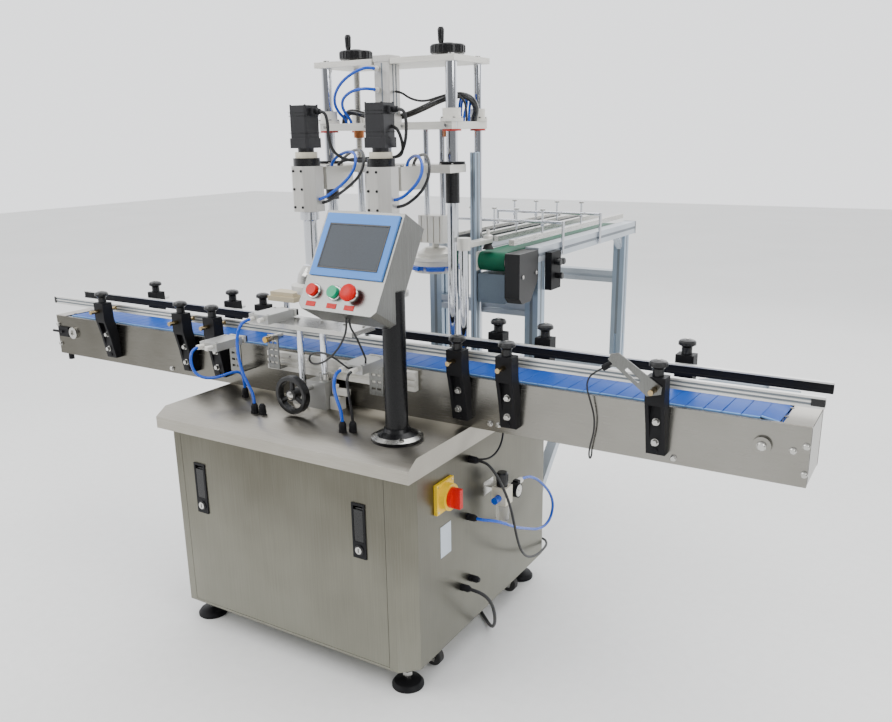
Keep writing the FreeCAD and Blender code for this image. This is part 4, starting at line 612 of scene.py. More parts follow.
@dataclass
class Cabinet:
    """Stainless cabinet: table, door with its two latches, feet and casters."""

    datum: Datum
    latch_xs: tuple[float, float] = (-263.0, 252.0)

    def build(self) -> None:
        """Dresses the sheets and the running gear."""
        d = self.datum
        dress(d, "cabinet_shell", DOOR_SHEET, "stainless")
        dress(d, "tabletop", TABLE_SHEET, "stainless")
        housings = [(NYLON, within(x - 19.6, x + 19.6, -20, 60, 351, 493)) for x in self.latch_xs]
        locks = [(STEEL, within(x - 9.5, x + 9.5, -20, 8.9, 364, 384)) for x in self.latch_xs]
        dress(d, "access_panel", DOOR_SHEET, "stainless", *housings, *locks)
        for side in ("left", "right"):
            dress(d, "latch_" + side, KNOB, "black_plastic")
        dress(d, "levelling_feet", NYLON, "black_plastic", (STEEL, within(z0=20.4)))
        dress(d, "caster_forks", STEEL, "black_paint")
        for end in ("front", "rear"):
            for side in ("left", "right"):
                dress(d, "caster_wheel_%s_%s" % (end, side), RUBBER, "black_rubber")
        self.keyholes()

    def keyholes(self) -> None:
        """Adds the collars of the keyholes in both latches, and black bars that are painted shade in the key
        slots.
        """
        keys = Batch(self.datum)
        for x in self.latch_xs:
            # Painted shade: a black bar stands for the dark key slot.
            keys.add(slab(x - 1.2, x + 1.2, 0.4, 2.0, 369, 379, 0.3))
            keys.add(around([(11.5, 0), (12.5, 0.8), (12.5, 2.0), (11, 2.6)], (x, 6.2, 374), (0, -1, 0)))
        keys.piece("latch_keyholes", KNOB, "access_panel", "black_plastic")


@dataclass
class Conveyor:
    """Flat-top chain conveyor with its side panels, guide rails, brackets and drive."""

    datum: Datum
    left: float = -1092.0
    right: float = 1078.0
    shaft_z: float = 698.0
    pitch: float = 38.1
    front: float = 289.0
    back: float = 410.0
    thick: float = 4.0
    bracket_xs: tuple[float, ...] = (-891.0, -545.0, -419.0, 383.0, 514.0, 866.0)
    panel_front: float = 275.0
    panel_back: float = 424.0
    rail_ends: tuple[float, float] = (-1196.0, 1184.0)
    wrap_radius: float = 52.0
    middle: float = 349.5
    slant: float = 0.035
    bearing_radius: float = 19.4
    screw_spots: tuple[tuple[float, float], ...] = (
        (1137.0, 696.0), (1161.0, 709.0), (1162.0, 650.0), (900.0, 636.0), (-1169.0, 720.0),
        (-1169.0, 655.0), (-640.0, 636.0), (455.0, 640.0), (478.0, 640.0))

    def outside(self, centres: Array) -> Array:
        """Tells the faces that lie outside the side panels."""
        return (centres[:, 1] < self.panel_front - 0.1) | (centres[:, 1] > self.panel_back + 0.1)

    def bearing(self, centres: Array) -> Array:
        """Tells the faces of the idler shaft's bearing, by their distance from its axis."""
        return np.hypot(centres[:, 0] - self.left, centres[:, 2] - self.shaft_z) < self.bearing_radius

    def build(self) -> None:
        """Builds the chain and rails and dresses the rest."""
        d = self.datum
        strips = (WHITE, within(-1060, 1045, 296, 403, 733, 749))
        plates = (NYLON, lambda c, n: (c[:, 0] < -1110) & (c[:, 2] > 680) & (c[:, 2] < 716)
                  & self.outside(c))
        rings = (STEEL, lambda c, n: self.bearing(c) & self.outside(c))
        covers = (TABLE_SHEET, within(z0=749.1))
        dress(d, "conveyor_panels", PANEL_SHEET, "stainless", strips, plates, rings, covers,
              (NYLON, within(z1=621.9)))
        for name in ("drive_shaft", "idler_shaft"):
            dress(d, name, CREAM, "stainless", (STEEL, lambda c, n: (c[:, 1] < 319.9) | (c[:, 1] > 380.1)))
        dress(d, "conveyor_gearmotor", GREY_PAINT, "grey_paint")
        dress(d, "rail_brackets", NYLON, "black_plastic", (KNOB, within(z0=822.05)))
        self.chain()
        self.rails()
        self.fasteners()

    def chain(self) -> None:
        """Chain of flat links: each plate is moved along a loop of two straights and two half circles."""
        span = self.right - self.left
        mid = self.wrap_radius
        length = 2 * span + 2 * math.pi * mid
        count = round(length / self.pitch)
        links = Batch(self.datum)
        edges = Batch(self.datum)
        half = length / count / 2 - 0.55
        plate = slab(-half, half, self.front + 4, self.back, -self.thick / 2, self.thick / 2, 0.7)
        rim = slab(-half, half, self.front, self.front + 3.6, -self.thick / 2, self.thick / 2, 0.7)
        for shape in (plate, rim):
            shape[..., 0] += self.slant * (shape[..., 1] - self.middle)
        for number in range(count):
            way = number * length / count
            if way < span:
                x, z, tilt = self.left + way, self.shaft_z + mid, 0.0
            elif way < span + math.pi * mid:
                tilt = (way - span) / mid
                x, z = self.right + mid * math.sin(tilt), self.shaft_z + mid * math.cos(tilt)
            elif way < 2 * span + math.pi * mid:
                x, z, tilt = self.right - (way - span - math.pi * mid), self.shaft_z - mid, math.pi
            else:
                tilt = math.pi + (way - 2 * span - math.pi * mid) / mid
                x, z = self.left + mid * math.sin(tilt), self.shaft_z + mid * math.cos(tilt)
            turn = np.array([[math.cos(tilt), 0, -math.sin(tilt)], [0, 1, 0],
                             [math.sin(tilt), 0, math.cos(tilt)]])
            place = np.array([x, 0, z])
            links.add(plate @ turn + place)
            edges.add(rim @ turn + place)
        links.piece("chain_links", CHAIN, "machine", "blue_chain", ["conveyor_chain"])
        # The front edges get a lighter blue than the links: a painted highlight.
        edges.piece("chain_front_edges", CHAIN_EDGE_HIGHLIGHT, "machine", "blue_chain")

    def rails(self) -> None:
        """Guide rails: a grooved outline carried along the belt, on round rods with pinch collars."""
        a, b = self.rail_ends
        z0, z1 = self.datum.table + 163, self.datum.table + 187
        y0, y1 = 290.0, 302.0
        grooved = [(y0, z0), (y0, z0 + 5), (y0 + 2.2, z0 + 6), (y0 + 2.2, z0 + 9.5), (y0, z0 + 10.5),
                   (y0, z0 + 14), (y0 + 2.2, z0 + 15), (y0 + 2.2, z0 + 18.5), (y0, z0 + 19.5), (y0, z1 - 0.6),
                   (y0 + 0.6, z1), (y1 - 0.6, z1), (y1, z1 - 0.6), (y1, z0)][::-1]
        rod_z = self.datum.table + 175
        rods = [rod(6, (x, y0 + 1, rod_z), (x, self.panel_front - 78, rod_z)) for x in self.bracket_xs]
        Batch(self.datum).add(*rods).piece("guide_rods_front", ROD_BRONZE, "guide_rail_front", "aluminium")
        Batch(self.datum).add(extruded(grooved, a, b)).piece(
            "guide_rail_front_bar", PROFILE_ALONG, "guide_rail_front", "aluminium", ["guide_rail_front"])
        # Painted shade: dark strips at the bottom of both grooves.
        shades = Batch(self.datum)
        for low in (6.0, 15.0):
            shades.add(slab(a + 0.5, b - 0.5, y0 + 1.7, y0 + 2.3, z0 + low, z0 + low + 3.5, 0.1))
        shades.piece("rail_groove_shades", SLOT_SHADE, "guide_rail_front", "aluminium")
        caps = Batch(self.datum).add(slab(b - 26, b, y0 - 0.8, y1 + 0.8, z0 + 4, z1 - 5, 0.8),
                                     slab(a, a + 10, y0 - 0.8, y1 + 0.8, z0 + 2, z1 - 2, 0.8))
        caps.piece("rail_end_caps", KNOB, "guide_rail_front", "black_plastic")
        y0, y1 = 405.0, 417.0
        body = [(y0, z0), (y1, z0), (y1, z1 - 4), (y0, z1 - 4), (y0, z0 + 18), (y0 + 1.6, z0 + 17),
                (y0 + 1.6, z0 + 6), (y0, z0 + 5)]
        Batch(self.datum).add(extruded(body, a, b)).piece(
            "guide_rail_rear_strip", NYLON, "guide_rail_rear", "black_plastic")
        rear = Batch(self.datum).add(slab(a, b, y0, y1, z1 - 4, z1, 0.5))
        rear.add(*[rod(6, (x, y1 - 1, rod_z), (x, self.panel_back + 78, rod_z)) for x in self.bracket_xs])
        rear.piece("guide_rail_rear_bar", PROFILE_ALONG, "guide_rail_rear", "aluminium", ["guide_rail_rear"])

    def fasteners(self) -> None:
        """Bracket bolts with washers, knob inserts and panel screws."""
        bolts = Batch(self.datum)
        washers = Batch(self.datum)
        for sign, face in ((-1, self.panel_front), (1, self.panel_back)):
            seat = face + sign * 26
            for x in self.bracket_xs:
                for up in (52, 98):
                    z = self.datum.table + up
                    washers.add(rod(8.5, (x, seat, z), (x, seat + sign * 1.6, z), 0.4))
                    bolts.add(hexagon(6.5, (x, seat + sign * 1.6, z), (x, seat + sign * 9, z)))
                bolts.add(stud(4, x, face + sign * 30, self.datum.table + 234, 2.2, 0.5, 24))
        for x, z in self.screw_spots:
            bolts.add(around([(7.5, 0), (7.5, 1.6), (6.2, 2.0), (6.0, 5.5), (4.6, 6.6), (1.2, 6.8)],
                             (x, self.panel_front, z), (0, -1, 0), 20))
        for y, way in ((267.2, -1), (431.8, 1)):
            bolts.add(around([(10, 0), (10, 2.4), (8.4, 3), (8.2, 6), (6.6, 7.4), (1.2, 7.6)],
                             (self.right, y, self.shaft_z), (0, way, 0), 24))
        bolts.piece("conveyor_bolts", STEEL, "machine", "stainless")
        sunk = Batch(self.datum)
        for x in (-1136.0, 1112.0):
            for y in (318.0, 382.0):
                sunk.add(stud(5, x, y, 750.5, 1.1, 0.4, 20))
        sunk.piece("cover_screws", KNOB, "machine", "black_plastic")
        washers.piece("bracket_washers", STEEL, "machine", "stainless")


@dataclass
class ControlBox:
    """Leaning control box with its display, three buttons and the post that carries it."""

    datum: Datum
    bezel: tuple[float, float] = (209.0, 154.0)
    bezel_low: float = 82.0
    button_up: float = 44.0
    buttons: tuple[float, float, float] = (-77.0, -15.0, 36.0)

    def build(self) -> None:
        """Dresses the box and adds display, rings and label plates."""
        d = self.datum
        half = self.bezel[0] / 2

        def unit(centres: Array, normals: Array) -> Array:
            """Tells the display unit's faces from the box's."""
            p = d.from_face(centres)
            return (p[:, 2] > 0.05) & (np.abs(p[:, 0]) < half + 1)

        dress(d, "hmi_box", BOX_SHEET, "stainless", (BEZEL_BLUE, unit))
        dress(d, "hmi_post", BLACK_COAT, "black_paint",
              (STEEL, lambda c, n: (c[:, 2] > d.table + 8.05) & (c[:, 2] < d.table + 14.5)
               & (np.hypot(c[:, 0] - 290, c[:, 1] - 121) > 45.9)))
        low = self.bezel_low
        top = self.bezel[1] - 29
        glass = slab(-half + 21, half - 21, low + 22, low + top, 4.6, 5.5, 0.4)
        Batch(d).add_on_face(glass).piece("display_glass", SCREEN, "machine", "black_plastic")
        border = [slab(a, b, low + v, low + w, 4.8, 6.2, 0.5)
                  for a, b, v, w in ((-half + 17, half - 17, 18, 22), (-half + 17, half - 17, top, top + 4),
                                     (-half + 17, -half + 21, 22, top), (half - 21, half - 17, 22, top))]
        Batch(d).add_on_face(*border).piece("display_frame", KNOB, "machine", "grey_paint")
        rings = Batch(d)
        plates = Batch(d)
        for number, u in enumerate(self.buttons):
            outer = 18.0 if number < 2 else 15.0
            rings.add_on_face(around([(8.6, 0.0), (outer, 0.0), (outer, 2.6), (outer - 2, 5.0), (8.6, 5.0)],
                                     (u, self.button_up, 0), (0, 0, 1), 36))
            plates.add_on_face(slab(u - 14, u + 14, 8, 20, 0.0, 1.2, 0.4))
        rings.piece("button_rings", STEEL, "machine", "white_plastic")
        plates.piece("button_plates", RED, "machine", "red_plastic")
        dress(d, "stop_button", RED, "red_plastic")
        dress(d, "start_button", GREEN, "green_plastic")
        u = self.buttons[2]
        cap = around([(9, 14.0), (18.5, 14.0), (20, 15.5), (20, 21.5), (18, 24.5), (13, 26.2), (7, 27),
                      (1, 27.2)], (u, self.button_up, 0), (0, 0, 1), 40)
        stem = around([(7.6, -8), (8.0, -7), (8.0, 14.2)], (u, self.button_up, 0), (0, 0, 1), 24)
        Batch(d).add_on_face(cap, stem).piece("estop_mushroom", RED, "estop_button", "red_plastic",
                                              ["estop_button"])


@dataclass
class SideFittings:
    """Right side of the cabinet: main switch, air regulator and cable glands."""

    datum: Datum
    regulator: Point = (432.0, 384.0, 410.0)

    def build(self) -> None:
        """Dresses the fittings and adds the gauge's dial."""
        d = self.datum
        x, y, z = self.regulator
        dress(d, "main_switch_plate", YELLOW, "yellow_plastic")
        label = slab(389.0, 389.7, 146, 195, 322, 404, 0.3)
        Batch(d).add(label).piece("side_label", LABEL, "machine", "white_plastic")
        pips = [rod(2.6, (397, 158 + dy, 485 + dz), (399.2, 158 + dy, 485 + dz), 0.4, 14)
                for dy in (-32, 32) for dz in (-32, 32)]
        Batch(d).add(*pips).piece("switch_screws", STEEL, "machine", "stainless")
        dress(d, "main_switch_knob", RED, "red_plastic")
        dress(d, "cable_glands", NYLON, "black_plastic")
        dress(d, "regulator_body", CREAM, "aluminium",
              (STEEL, within(x1=x - 20.1)), (KNOB, within(x0=x - 16, z0=z + 24.05)),
              (BOWL, within(x0=x - 21, x1=x + 21, y0=y - 20, y1=y + 20, z1=z - 24.05)),
              (HOSE_BLUE, within(y0=y - 60, y1=y - 20.1, x0=x - 15)),
              (HOSE_BLUE, within(y0=y + 20.1, y1=y + 36, x0=x - 8)),
              (NYLON, within(y0=y + 26, y1=y + 66, x0=x + 3.9)),
              (WHITE, within(y0=y + 66.1)))
        dress(d, "regulator_knob", KNOB, "black_plastic")
        dial = Batch(d).add(around([(16, 0), (16, 0.5), (1, 0.6)], (x + 25.8, y + 46, z - 2), (1, 0, 0), 40))
        dial.piece("gauge_dial", WHITE, "machine", "white_plastic")
        marks = Batch(d)
        for step in range(11):
            angle = math.radians(-45 + step * 27)
            spot = (x + 26.4, y + 46 + 13 * math.cos(angle), z - 2 + 13 * math.sin(angle))
            marks.add(rod(0.7, spot, (spot[0] + 0.4, spot[1], spot[2]), 0.1, 6))
        tip = (x + 26.7, y + 46 - 9, z - 2 + 6)
        marks.add(rod(0.6, (x + 26.7, y + 46, z - 2), tip, 0.2, 8))
        marks.piece("gauge_marks", KNOB, "machine", "black_plastic")
        ribs = Batch(d)
        for step in range(18):
            angle = math.radians(step * 20)
            px, py = x + 14.9 * math.cos(angle), y + 14.9 * math.sin(angle)
            ribs.add(stud(1.1, px, py, z + 38, 19, 0.4, 8))
        ribs.piece("regulator_knob_ribs", KNOB, "regulator_knob", "black_plastic")
        dress(d, "sensor_unit", BOX_SHEET, "stainless",
              (NYLON, lambda c, n: (c[:, 0] < 769) & (c[:, 1] > 240) & (c[:, 2] < 848)))


@dataclass
class Gantry:
    """Capping gantry: posts, plates, lifting cylinder, carrier, heads and spindles."""

    datum: Datum
    post_xs: tuple[float, float] = (-205.0, 197.0)
    post_ys: tuple[float, float] = (545.0, 684.0)
    head_xs: tuple[float, float] = (-130.0, 108.0)
    head_y: float = 349.5
    lead_xs: tuple[float, float] = (-154.0, 146.0)
    lead_y: float = 615.0
    platform: float = 1322.0
    carrier: float = 1212.0
    top: float = 1488.0

    def build(self) -> None:
        """Dresses the gantry and adds painted slot shade strips, screws and motor details."""
        d = self.datum
        posts = [(x, y) for x in self.post_xs for y in self.post_ys]
        table = d.table
        dress(d, "gantry_posts", CHROME, "chrome", (NYLON, near(posts, 30.5, table - 1, table + 26.2)),
              (UPRIGHT_ALUMINIUM, within(200, 240, 585, 650)),
              (BLACK_COAT, within(240, 300, 450, 510, table - 1, table + 12.5)))
        dress(d, "gantry_top_plate", ALUMINIUM, "aluminium", (STEEL, within(z0=self.top + 15.05)))
        # Painted shade: dark strips on flat faces of the column and the lift cylinder stand for the shade in
        # their slots.
        for name, body, low, high, sides in (
                ("column_slot_shades", "machine", table + 20, table + 638,
                 ((222, 226, 605.4, 606.1), (231.9, 232.6, 613, 623))),
                ("cylinder_slot_shades", "height_platform", self.platform + 40, self.platform + 170,
                 ((-6, -2, 523.3, 524.1), (19.9, 20.7, 539, 543), (19.9, 20.7, 553, 557)))):
            Batch(d).add(*[slab(*side, low, high, 0.1) for side in sides]).piece(
                name, SLOT_SHADE, body, "aluminium")
        dress(d, "height_platform", ALUMINIUM, "aluminium",
              (WHITE, near(posts, 32, self.platform + 19.05, self.platform + 60)),
              (SCRAPER_RED, near(posts, 27, self.platform - 8, self.platform - 0.05)),
              (COPPER, near([(x, self.lead_y) for x in self.lead_xs], 15.5, self.platform - 25,
                            self.platform - 0.05)),
              (UPRIGHT_PALE, within(-32, 24, 520, 576, self.platform + 19.05)),
              (WHITE, within(50, 134, 597, 653, table + 390, table + 471)),
              (CHROME, within(56, 128, 615, 635, table + 471.1, self.platform - 0.1)))
        for side in ("left", "right"):
            dress(d, "lead_screw_" + side, THREAD, "stainless", (KNOB, within(z0=self.top + 15.1)))
        dress(d, "lid_disc", ALUMINIUM, "white_plastic", (WHITE, within(z0=table + 312, z1=table + 321.1)),
              (HOSE_BLUE, within(z0=table + 321.1, z1=table + 333.1)),
              (WHITE, within(z0=table + 344.9, z1=table + 356.1)))
        front = [(x, self.post_ys[0]) for x in self.post_xs]
        dress(d, "head_carrier", ALUMINIUM, "aluminium",
              (NYLON, near(front, 35, self.carrier + 21.05, self.carrier + 30)),
              (KNOB, near(front, 19.5, self.carrier - 90, self.carrier - 0.05)),
              (CHROME, near([(-4.0, 548.0)], 9, self.carrier + 33.1, self.top + 90)))
        dress(d, "capping_heads", UPRIGHT_PALE, "grey_paint",
              (KNOB, within(z0=table + 612, z1=table + 632.1)),
              (CREAM, within(z0=table + 632.1, z1=table + 647.1)), (MOTOR_PAINT, within(z0=table + 647.1)))
        for side in ("left", "right"):
            dress(d, "spindle_" + side, STEEL, "stainless",
                  (RUBBER, within(z1=table + 270.1)), (ALUMINIUM, within(z0=table + 270.1, z1=table + 306)),
                  (CHROME, within(z0=table + 352)))
        self.screws(posts)
        self.heads()

    def screws(self, posts: list[tuple[float, float]]) -> None:
        """Socket screws on the bearing flanges, plates and arms.

        Args:
            posts: axes of the four posts.
        """
        moving = Batch(self.datum)
        for x, y in posts:
            reach = 25.5 if y == self.post_ys[0] else 21.5
            for step in range(4):
                angle = math.radians(45 + 90 * step)
                px, py = x + reach * math.cos(angle), y + reach * math.sin(angle)
                moving.add(stud(3.6, px, py, self.platform + 27, 4, 0.5, 16))
        for x in (-200, -60, 60, 195):
            moving.add(rod(4.5, (x, 516.2, self.platform + 9.5), (x, 520, self.platform + 9.5), 0.5, 16))
        moving.piece("platform_screws", STEEL, "height_platform", "stainless")
        carrier = Batch(self.datum)
        for x in self.head_xs:
            for dx in (-20, 20):
                for dy in (412.0, 470.0):
                    carrier.add(stud(5, x + dx, dy, self.carrier + 19, 4, 0.6, 16))
        for x in self.post_xs:
            for dx in (-16.2, 16.2):
                for dy in (518.0, 572.0):
                    carrier.add(stud(3.6, x + dx, dy, self.carrier + 21, 4, 0.5, 16))
        carrier.piece("carrier_screws", STEEL, "head_carrier", "stainless")
        ports = Batch(self.datum)
        for z in (self.platform + 103, self.platform + 156):
            ports.add(around([(7, 0), (7, 6), (5.5, 8), (5.5, 14), (1, 14.2)], (-17, 522, z), (0, -1, 0), 18))
        ports.piece("lift_ports", WHITE, "height_platform", "white_plastic")
        for x, side in zip(self.lead_xs, ("left", "right")):
            grips = Batch(self.datum)
            for step in range(24):
                angle = math.radians(15 * step)
                px, py = x + 44.2 * math.cos(angle), self.lead_y + 44.2 * math.sin(angle)
                grips.add(stud(2.6, px, py, self.top + 26, 18, 0.8, 8))
            grips.piece("lift_wheel_grips_" + side, KNOB, "lead_screw_" + side, "black_plastic")

    def heads(self) -> None:
        """Housing screws, motor seams and plugs on both heads."""
        table = self.datum.table
        screws = Batch(self.datum)
        seams = Batch(self.datum)
        plugs = Batch(self.datum)
        for x in self.head_xs:
            for dx in (-13, 13):
                for z in (table + 508, table + 554, table + 600):
                    screws.add(rod(3.4, (x + dx, self.head_y - 40, z), (x + dx, self.head_y - 42.5, z),
                                   0.4, 16))
            for dx in (-24, 24):
                for dy in (-24, 24):
                    screws.add(stud(2.6, x + dx, self.head_y + dy, table + 763, 2, 0.4, 12))
            for z in (table + 694, table + 736, table + 744):
                seams.add(slab(x - 28.7, x + 28.7, self.head_y - 28.7, self.head_y + 28.7, z, z + 1.6, 0.7))
            plugs.add(rod(7, (x + 40, self.head_y, table + 747), (x + 54, self.head_y, table + 747), 1.2))
        screws.piece("head_screws", KNOB, "head_carrier", "stainless")
        seams.piece("motor_seams", KNOB, "head_carrier", "black_plastic")
        plugs.piece("motor_plugs", NYLON, "head_carrier", "black_plastic")


@dataclass
class Clamps:
    """Bottle clamps in front of the belt: side cylinders, lifting arm, handwheel and jaws."""

    datum: Datum
    side_xs: tuple[float, float] = (-321.0, 158.0)
    jaw_z: float = 772.0
    arm_z: float = 839.0
    centre_x: float = -140.0

    def build(self) -> None:
        """Dresses the clamps and adds ports and screws."""
        d = self.datum
        z = self.jaw_z
        blocks = [(CYLINDER, within(x - 32, x + 32, 129.9, 224.1, z - 10.9, z + 12)) for x in self.side_xs]
        fittings = [(WHITE, within(x - 30, x + 30, 100, 129.9, z - 8, z + 8)) for x in self.side_xs]
        dress(d, "clamp_cylinders", BOX_SHEET, "aluminium", *blocks, *fittings,
              (WHITE, within(-235, 255, 256.9, 276, d.table + 71, d.table + 123)),
              (STEEL, within(-190, -168, 190, 263, d.table + 161, d.table + 179)),
              (BRASS, within(-190, -168, 190, 208, d.table + 161, d.table + 179)))
        dress(d, "clamp_stand", CYLINDER, "aluminium", (BEIGE, within(-395, -285, 440, 505, d.table + 215)),
              (CHROME, within(-360, -330, 460, 490, d.table, d.table + 215)),
              (WHITE, within(9, 63, 220, 252)), (STEEL, within(-106, -72, 217, 251, d.table + 42.1)),
              (STEEL, within(-29, 5, 217, 251, d.table + 74.1)))
        dress(d, "clamp_lift", STEEL, "aluminium", (CHROME, within(z1=self.arm_z - 0.1)),
              (CYLINDER, within(self.centre_x - 33, self.centre_x + 33, 137.9, 237, self.arm_z + 12.05)),
              (WHITE, within(self.centre_x - 30, self.centre_x + 30, 100, 137.9, self.arm_z + 12)))
        dress(d, "clamp_handwheel", KNOB, "black_plastic", (STEEL, within(y0=149)))
        for side in ("left", "right"):
            dress(d, "clamp_jaw_" + side, ALUMINIUM, "aluminium", (RUBBER, within(y0=244.1)),
                  (CHROME, within(y1=235.9)))
        dress(d, "clamp_jaw_centre", ALUMINIUM, "aluminium", (RUBBER, within(y0=250.1)),
              (CHROME, within(y1=241.9)))
        self.details()

    def details(self) -> None:
        """Adds elbow collars, cylinder screws and the handwheel's cap."""
        d = self.datum
        fixed = Batch(d)
        elbows = Batch(d)
        for x in self.side_xs:
            for dx in (-24, 24):
                for y in (138, 216):
                    fixed.add(stud(3.2, x + dx, y, self.jaw_z + 11, 2))
            for left in (x - 24, x + 8):
                elbows.add(slab(left, left + 12, 108, 120, self.jaw_z - 6, self.jaw_z + 6, 1.5))
        for x in range(-210, 240, 60):
            fixed.add(rod(3.4, (x, 258, d.table + 114), (x, 256, d.table + 114), 0.4, 14))
        fixed.piece("clamp_screws", STEEL, "machine", "stainless")
        elbows.piece("clamp_elbows", WHITE, "machine", "white_plastic")
        lift = Batch(d)
        for x in (-195, -101, -89, -12, 60, 120):
            lift.add(stud(3.8, x, 234, self.arm_z + 12, 3))
        for dx in (-25, 25):
            for y in (146, 228):
                lift.add(stud(3.2, self.centre_x + dx, y, self.arm_z + 36, 2))
        lift.piece("arm_screws", STEEL, "clamp_lift", "stainless")
        cap = around([(11, 0), (10.5, 2.5), (6, 4.5), (1, 5)], (-36, 123, 679), (0, -1, 0), 24)
        Batch(d).add(cap).piece("handwheel_cap", STEEL, "clamp_handwheel", "stainless")


@dataclass
class Feeder:
    """Lid feeder behind the gantry: profile frame, lanes, belt, drive, and the lid arm."""

    datum: Datum
    top: float = 1007.0
    lane_xs: tuple[float, ...] = (82.0, 160.0, 234.0, 318.0)
    hold_ys: tuple[float, float] = (850.0, 1140.0)
    guard_bolts: tuple[tuple[float, float], ...] = ((600.0, 940.0), (682.0, 942.0))

    def build(self) -> None:
        """Dresses the feeder and adds caps, bolts and knobs."""
        d = self.datum
        legs = (UPRIGHT_ALUMINIUM, lambda c, n: (c[:, 2] < self.top - 40.05) & (
            ((c[:, 1] > 697) & (c[:, 1] < 739)) | ((c[:, 1] > 1389) & (c[:, 1] < 1431)))
            & ((c[:, 0] < 64.5) | (c[:, 0] > 337.5)))
        rods = [(CHROME, within(y0=y - 9, y1=y + 9, z0=self.top + 23.05)) for y in self.hold_ys]
        sides = [(CHROME, lambda c, n, y=y: (np.abs(c[:, 1] - y) < 9)
                  & ((c[:, 0] < 23.9) | (c[:, 0] > 378.1))) for y in self.hold_ys]
        lanes = (ALUMINIUM_DEEP, within(z0=self.top + 7.9, z1=self.top + 23.04))
        dress(d, "feeder_frame", PROFILE, "aluminium", legs, lanes, *rods, *sides,
              (NYLON, within(y0=1490.05, z1=self.top + 2)))
        dress(d, "feeder_belt", BELT_COVER, "green_belt")
        for end in ("front", "rear"):
            dress(d, "feeder_roller_" + end, STEEL, "stainless")
        dress(d, "feeder_drive", WHITE, "grey_paint", (GUARD_PAINT, within(x0=333.9, x1=378.05, y1=698)),
              (GREY_PAINT, within(x1=333.9, z1=self.top - 64)), (NYLON, within(x0=378.05)))
        dress(d, "placer_arm", ALUMINIUM, "aluminium", (RUBBER, within(y0=590, z1=1026)))
        bolts = Batch(d)
        for y, z in self.guard_bolts:
            bolts.add(rod(5.5, (378, y, z), (381.5, y, z), 0.8, 16))
        for x in self.lane_xs:
            for y in self.hold_ys:
                bolts.add(stud(8, x, y, self.top + 86, 5.5, 1.2, 16))
        bolts.piece("feeder_bolts", STEEL, "machine", "stainless")
        knobs = Batch(d)
        for y, z in ((762, 962), (786, 962), (774, 922)):
            knobs.add(around([(9.5, 0), (9.5, 7), (8, 8.5), (1, 8.8)], (410, y, z), (1, 0, 0), 24))
        knobs.piece("speed_knobs", KNOB, "machine", "black_plastic")
        block = around([(24, 0), (24, 9), (22, 11), (9, 11.2)], (322.6, 626, 974), (1, 0, 0), 32)
        Batch(d).add(block).piece("roller_bearing", WHITE, "machine", "white_plastic")
        self.profile_lines()

    def profile_lines(self) -> None:
        """Adds painted slot shade lines on the profiles, corner gussets and the dark strips beside the lanes.
        """
        low, high = self.datum.table, self.top - 40
        # Painted shade: dark lines on the profile faces stand for the shade inside their slots.
        slots = Batch(self.datum)
        for y in (718.0, 1410.0):
            slots.add(slab(377.8, 378.5, y - 4.5, y + 4.5, low + 1, high - 1, 0.1))
            for x in (44.0, 358.0):
                slots.add(slab(x - 4.5, x + 4.5, y - 20.5, y - 19.8, low + 1, high - 1, 0.1))
        slots.add(slab(377.8, 378.5, 700, 1488, high + 16, high + 24, 0.1))
        slots.piece("profile_slot_shades", SLOT_SHADE, "machine", "aluminium")
        gussets = Batch(self.datum)
        for x in (38.0, 352.0):
            gussets.add(extruded([(1390, high), (1345, high), (1345, high - 4), (1386, high - 45),
                                  (1390, high - 45)], x, x + 14))
            gussets.add(extruded([(738, high), (738, high - 45), (742, high - 45), (783, high - 4),
                                  (783, high)], x, x + 14))
        gussets.piece("corner_gussets", PROFILE, "machine", "aluminium")
        # Black strips in the gaps beside the lanes.
        strips = Batch(self.datum)
        for lane, side, foot, head in zip(self.lane_xs, (9, 9, -15, -15), (41, 41, 48, 48), (56, 56, 58, 58)):
            strips.add(slab(lane + side, lane + side + 6, 706, 1482, high + foot, high + head, 0.6))
        strips.piece("lane_strips", KNOB, "machine", "black_plastic")


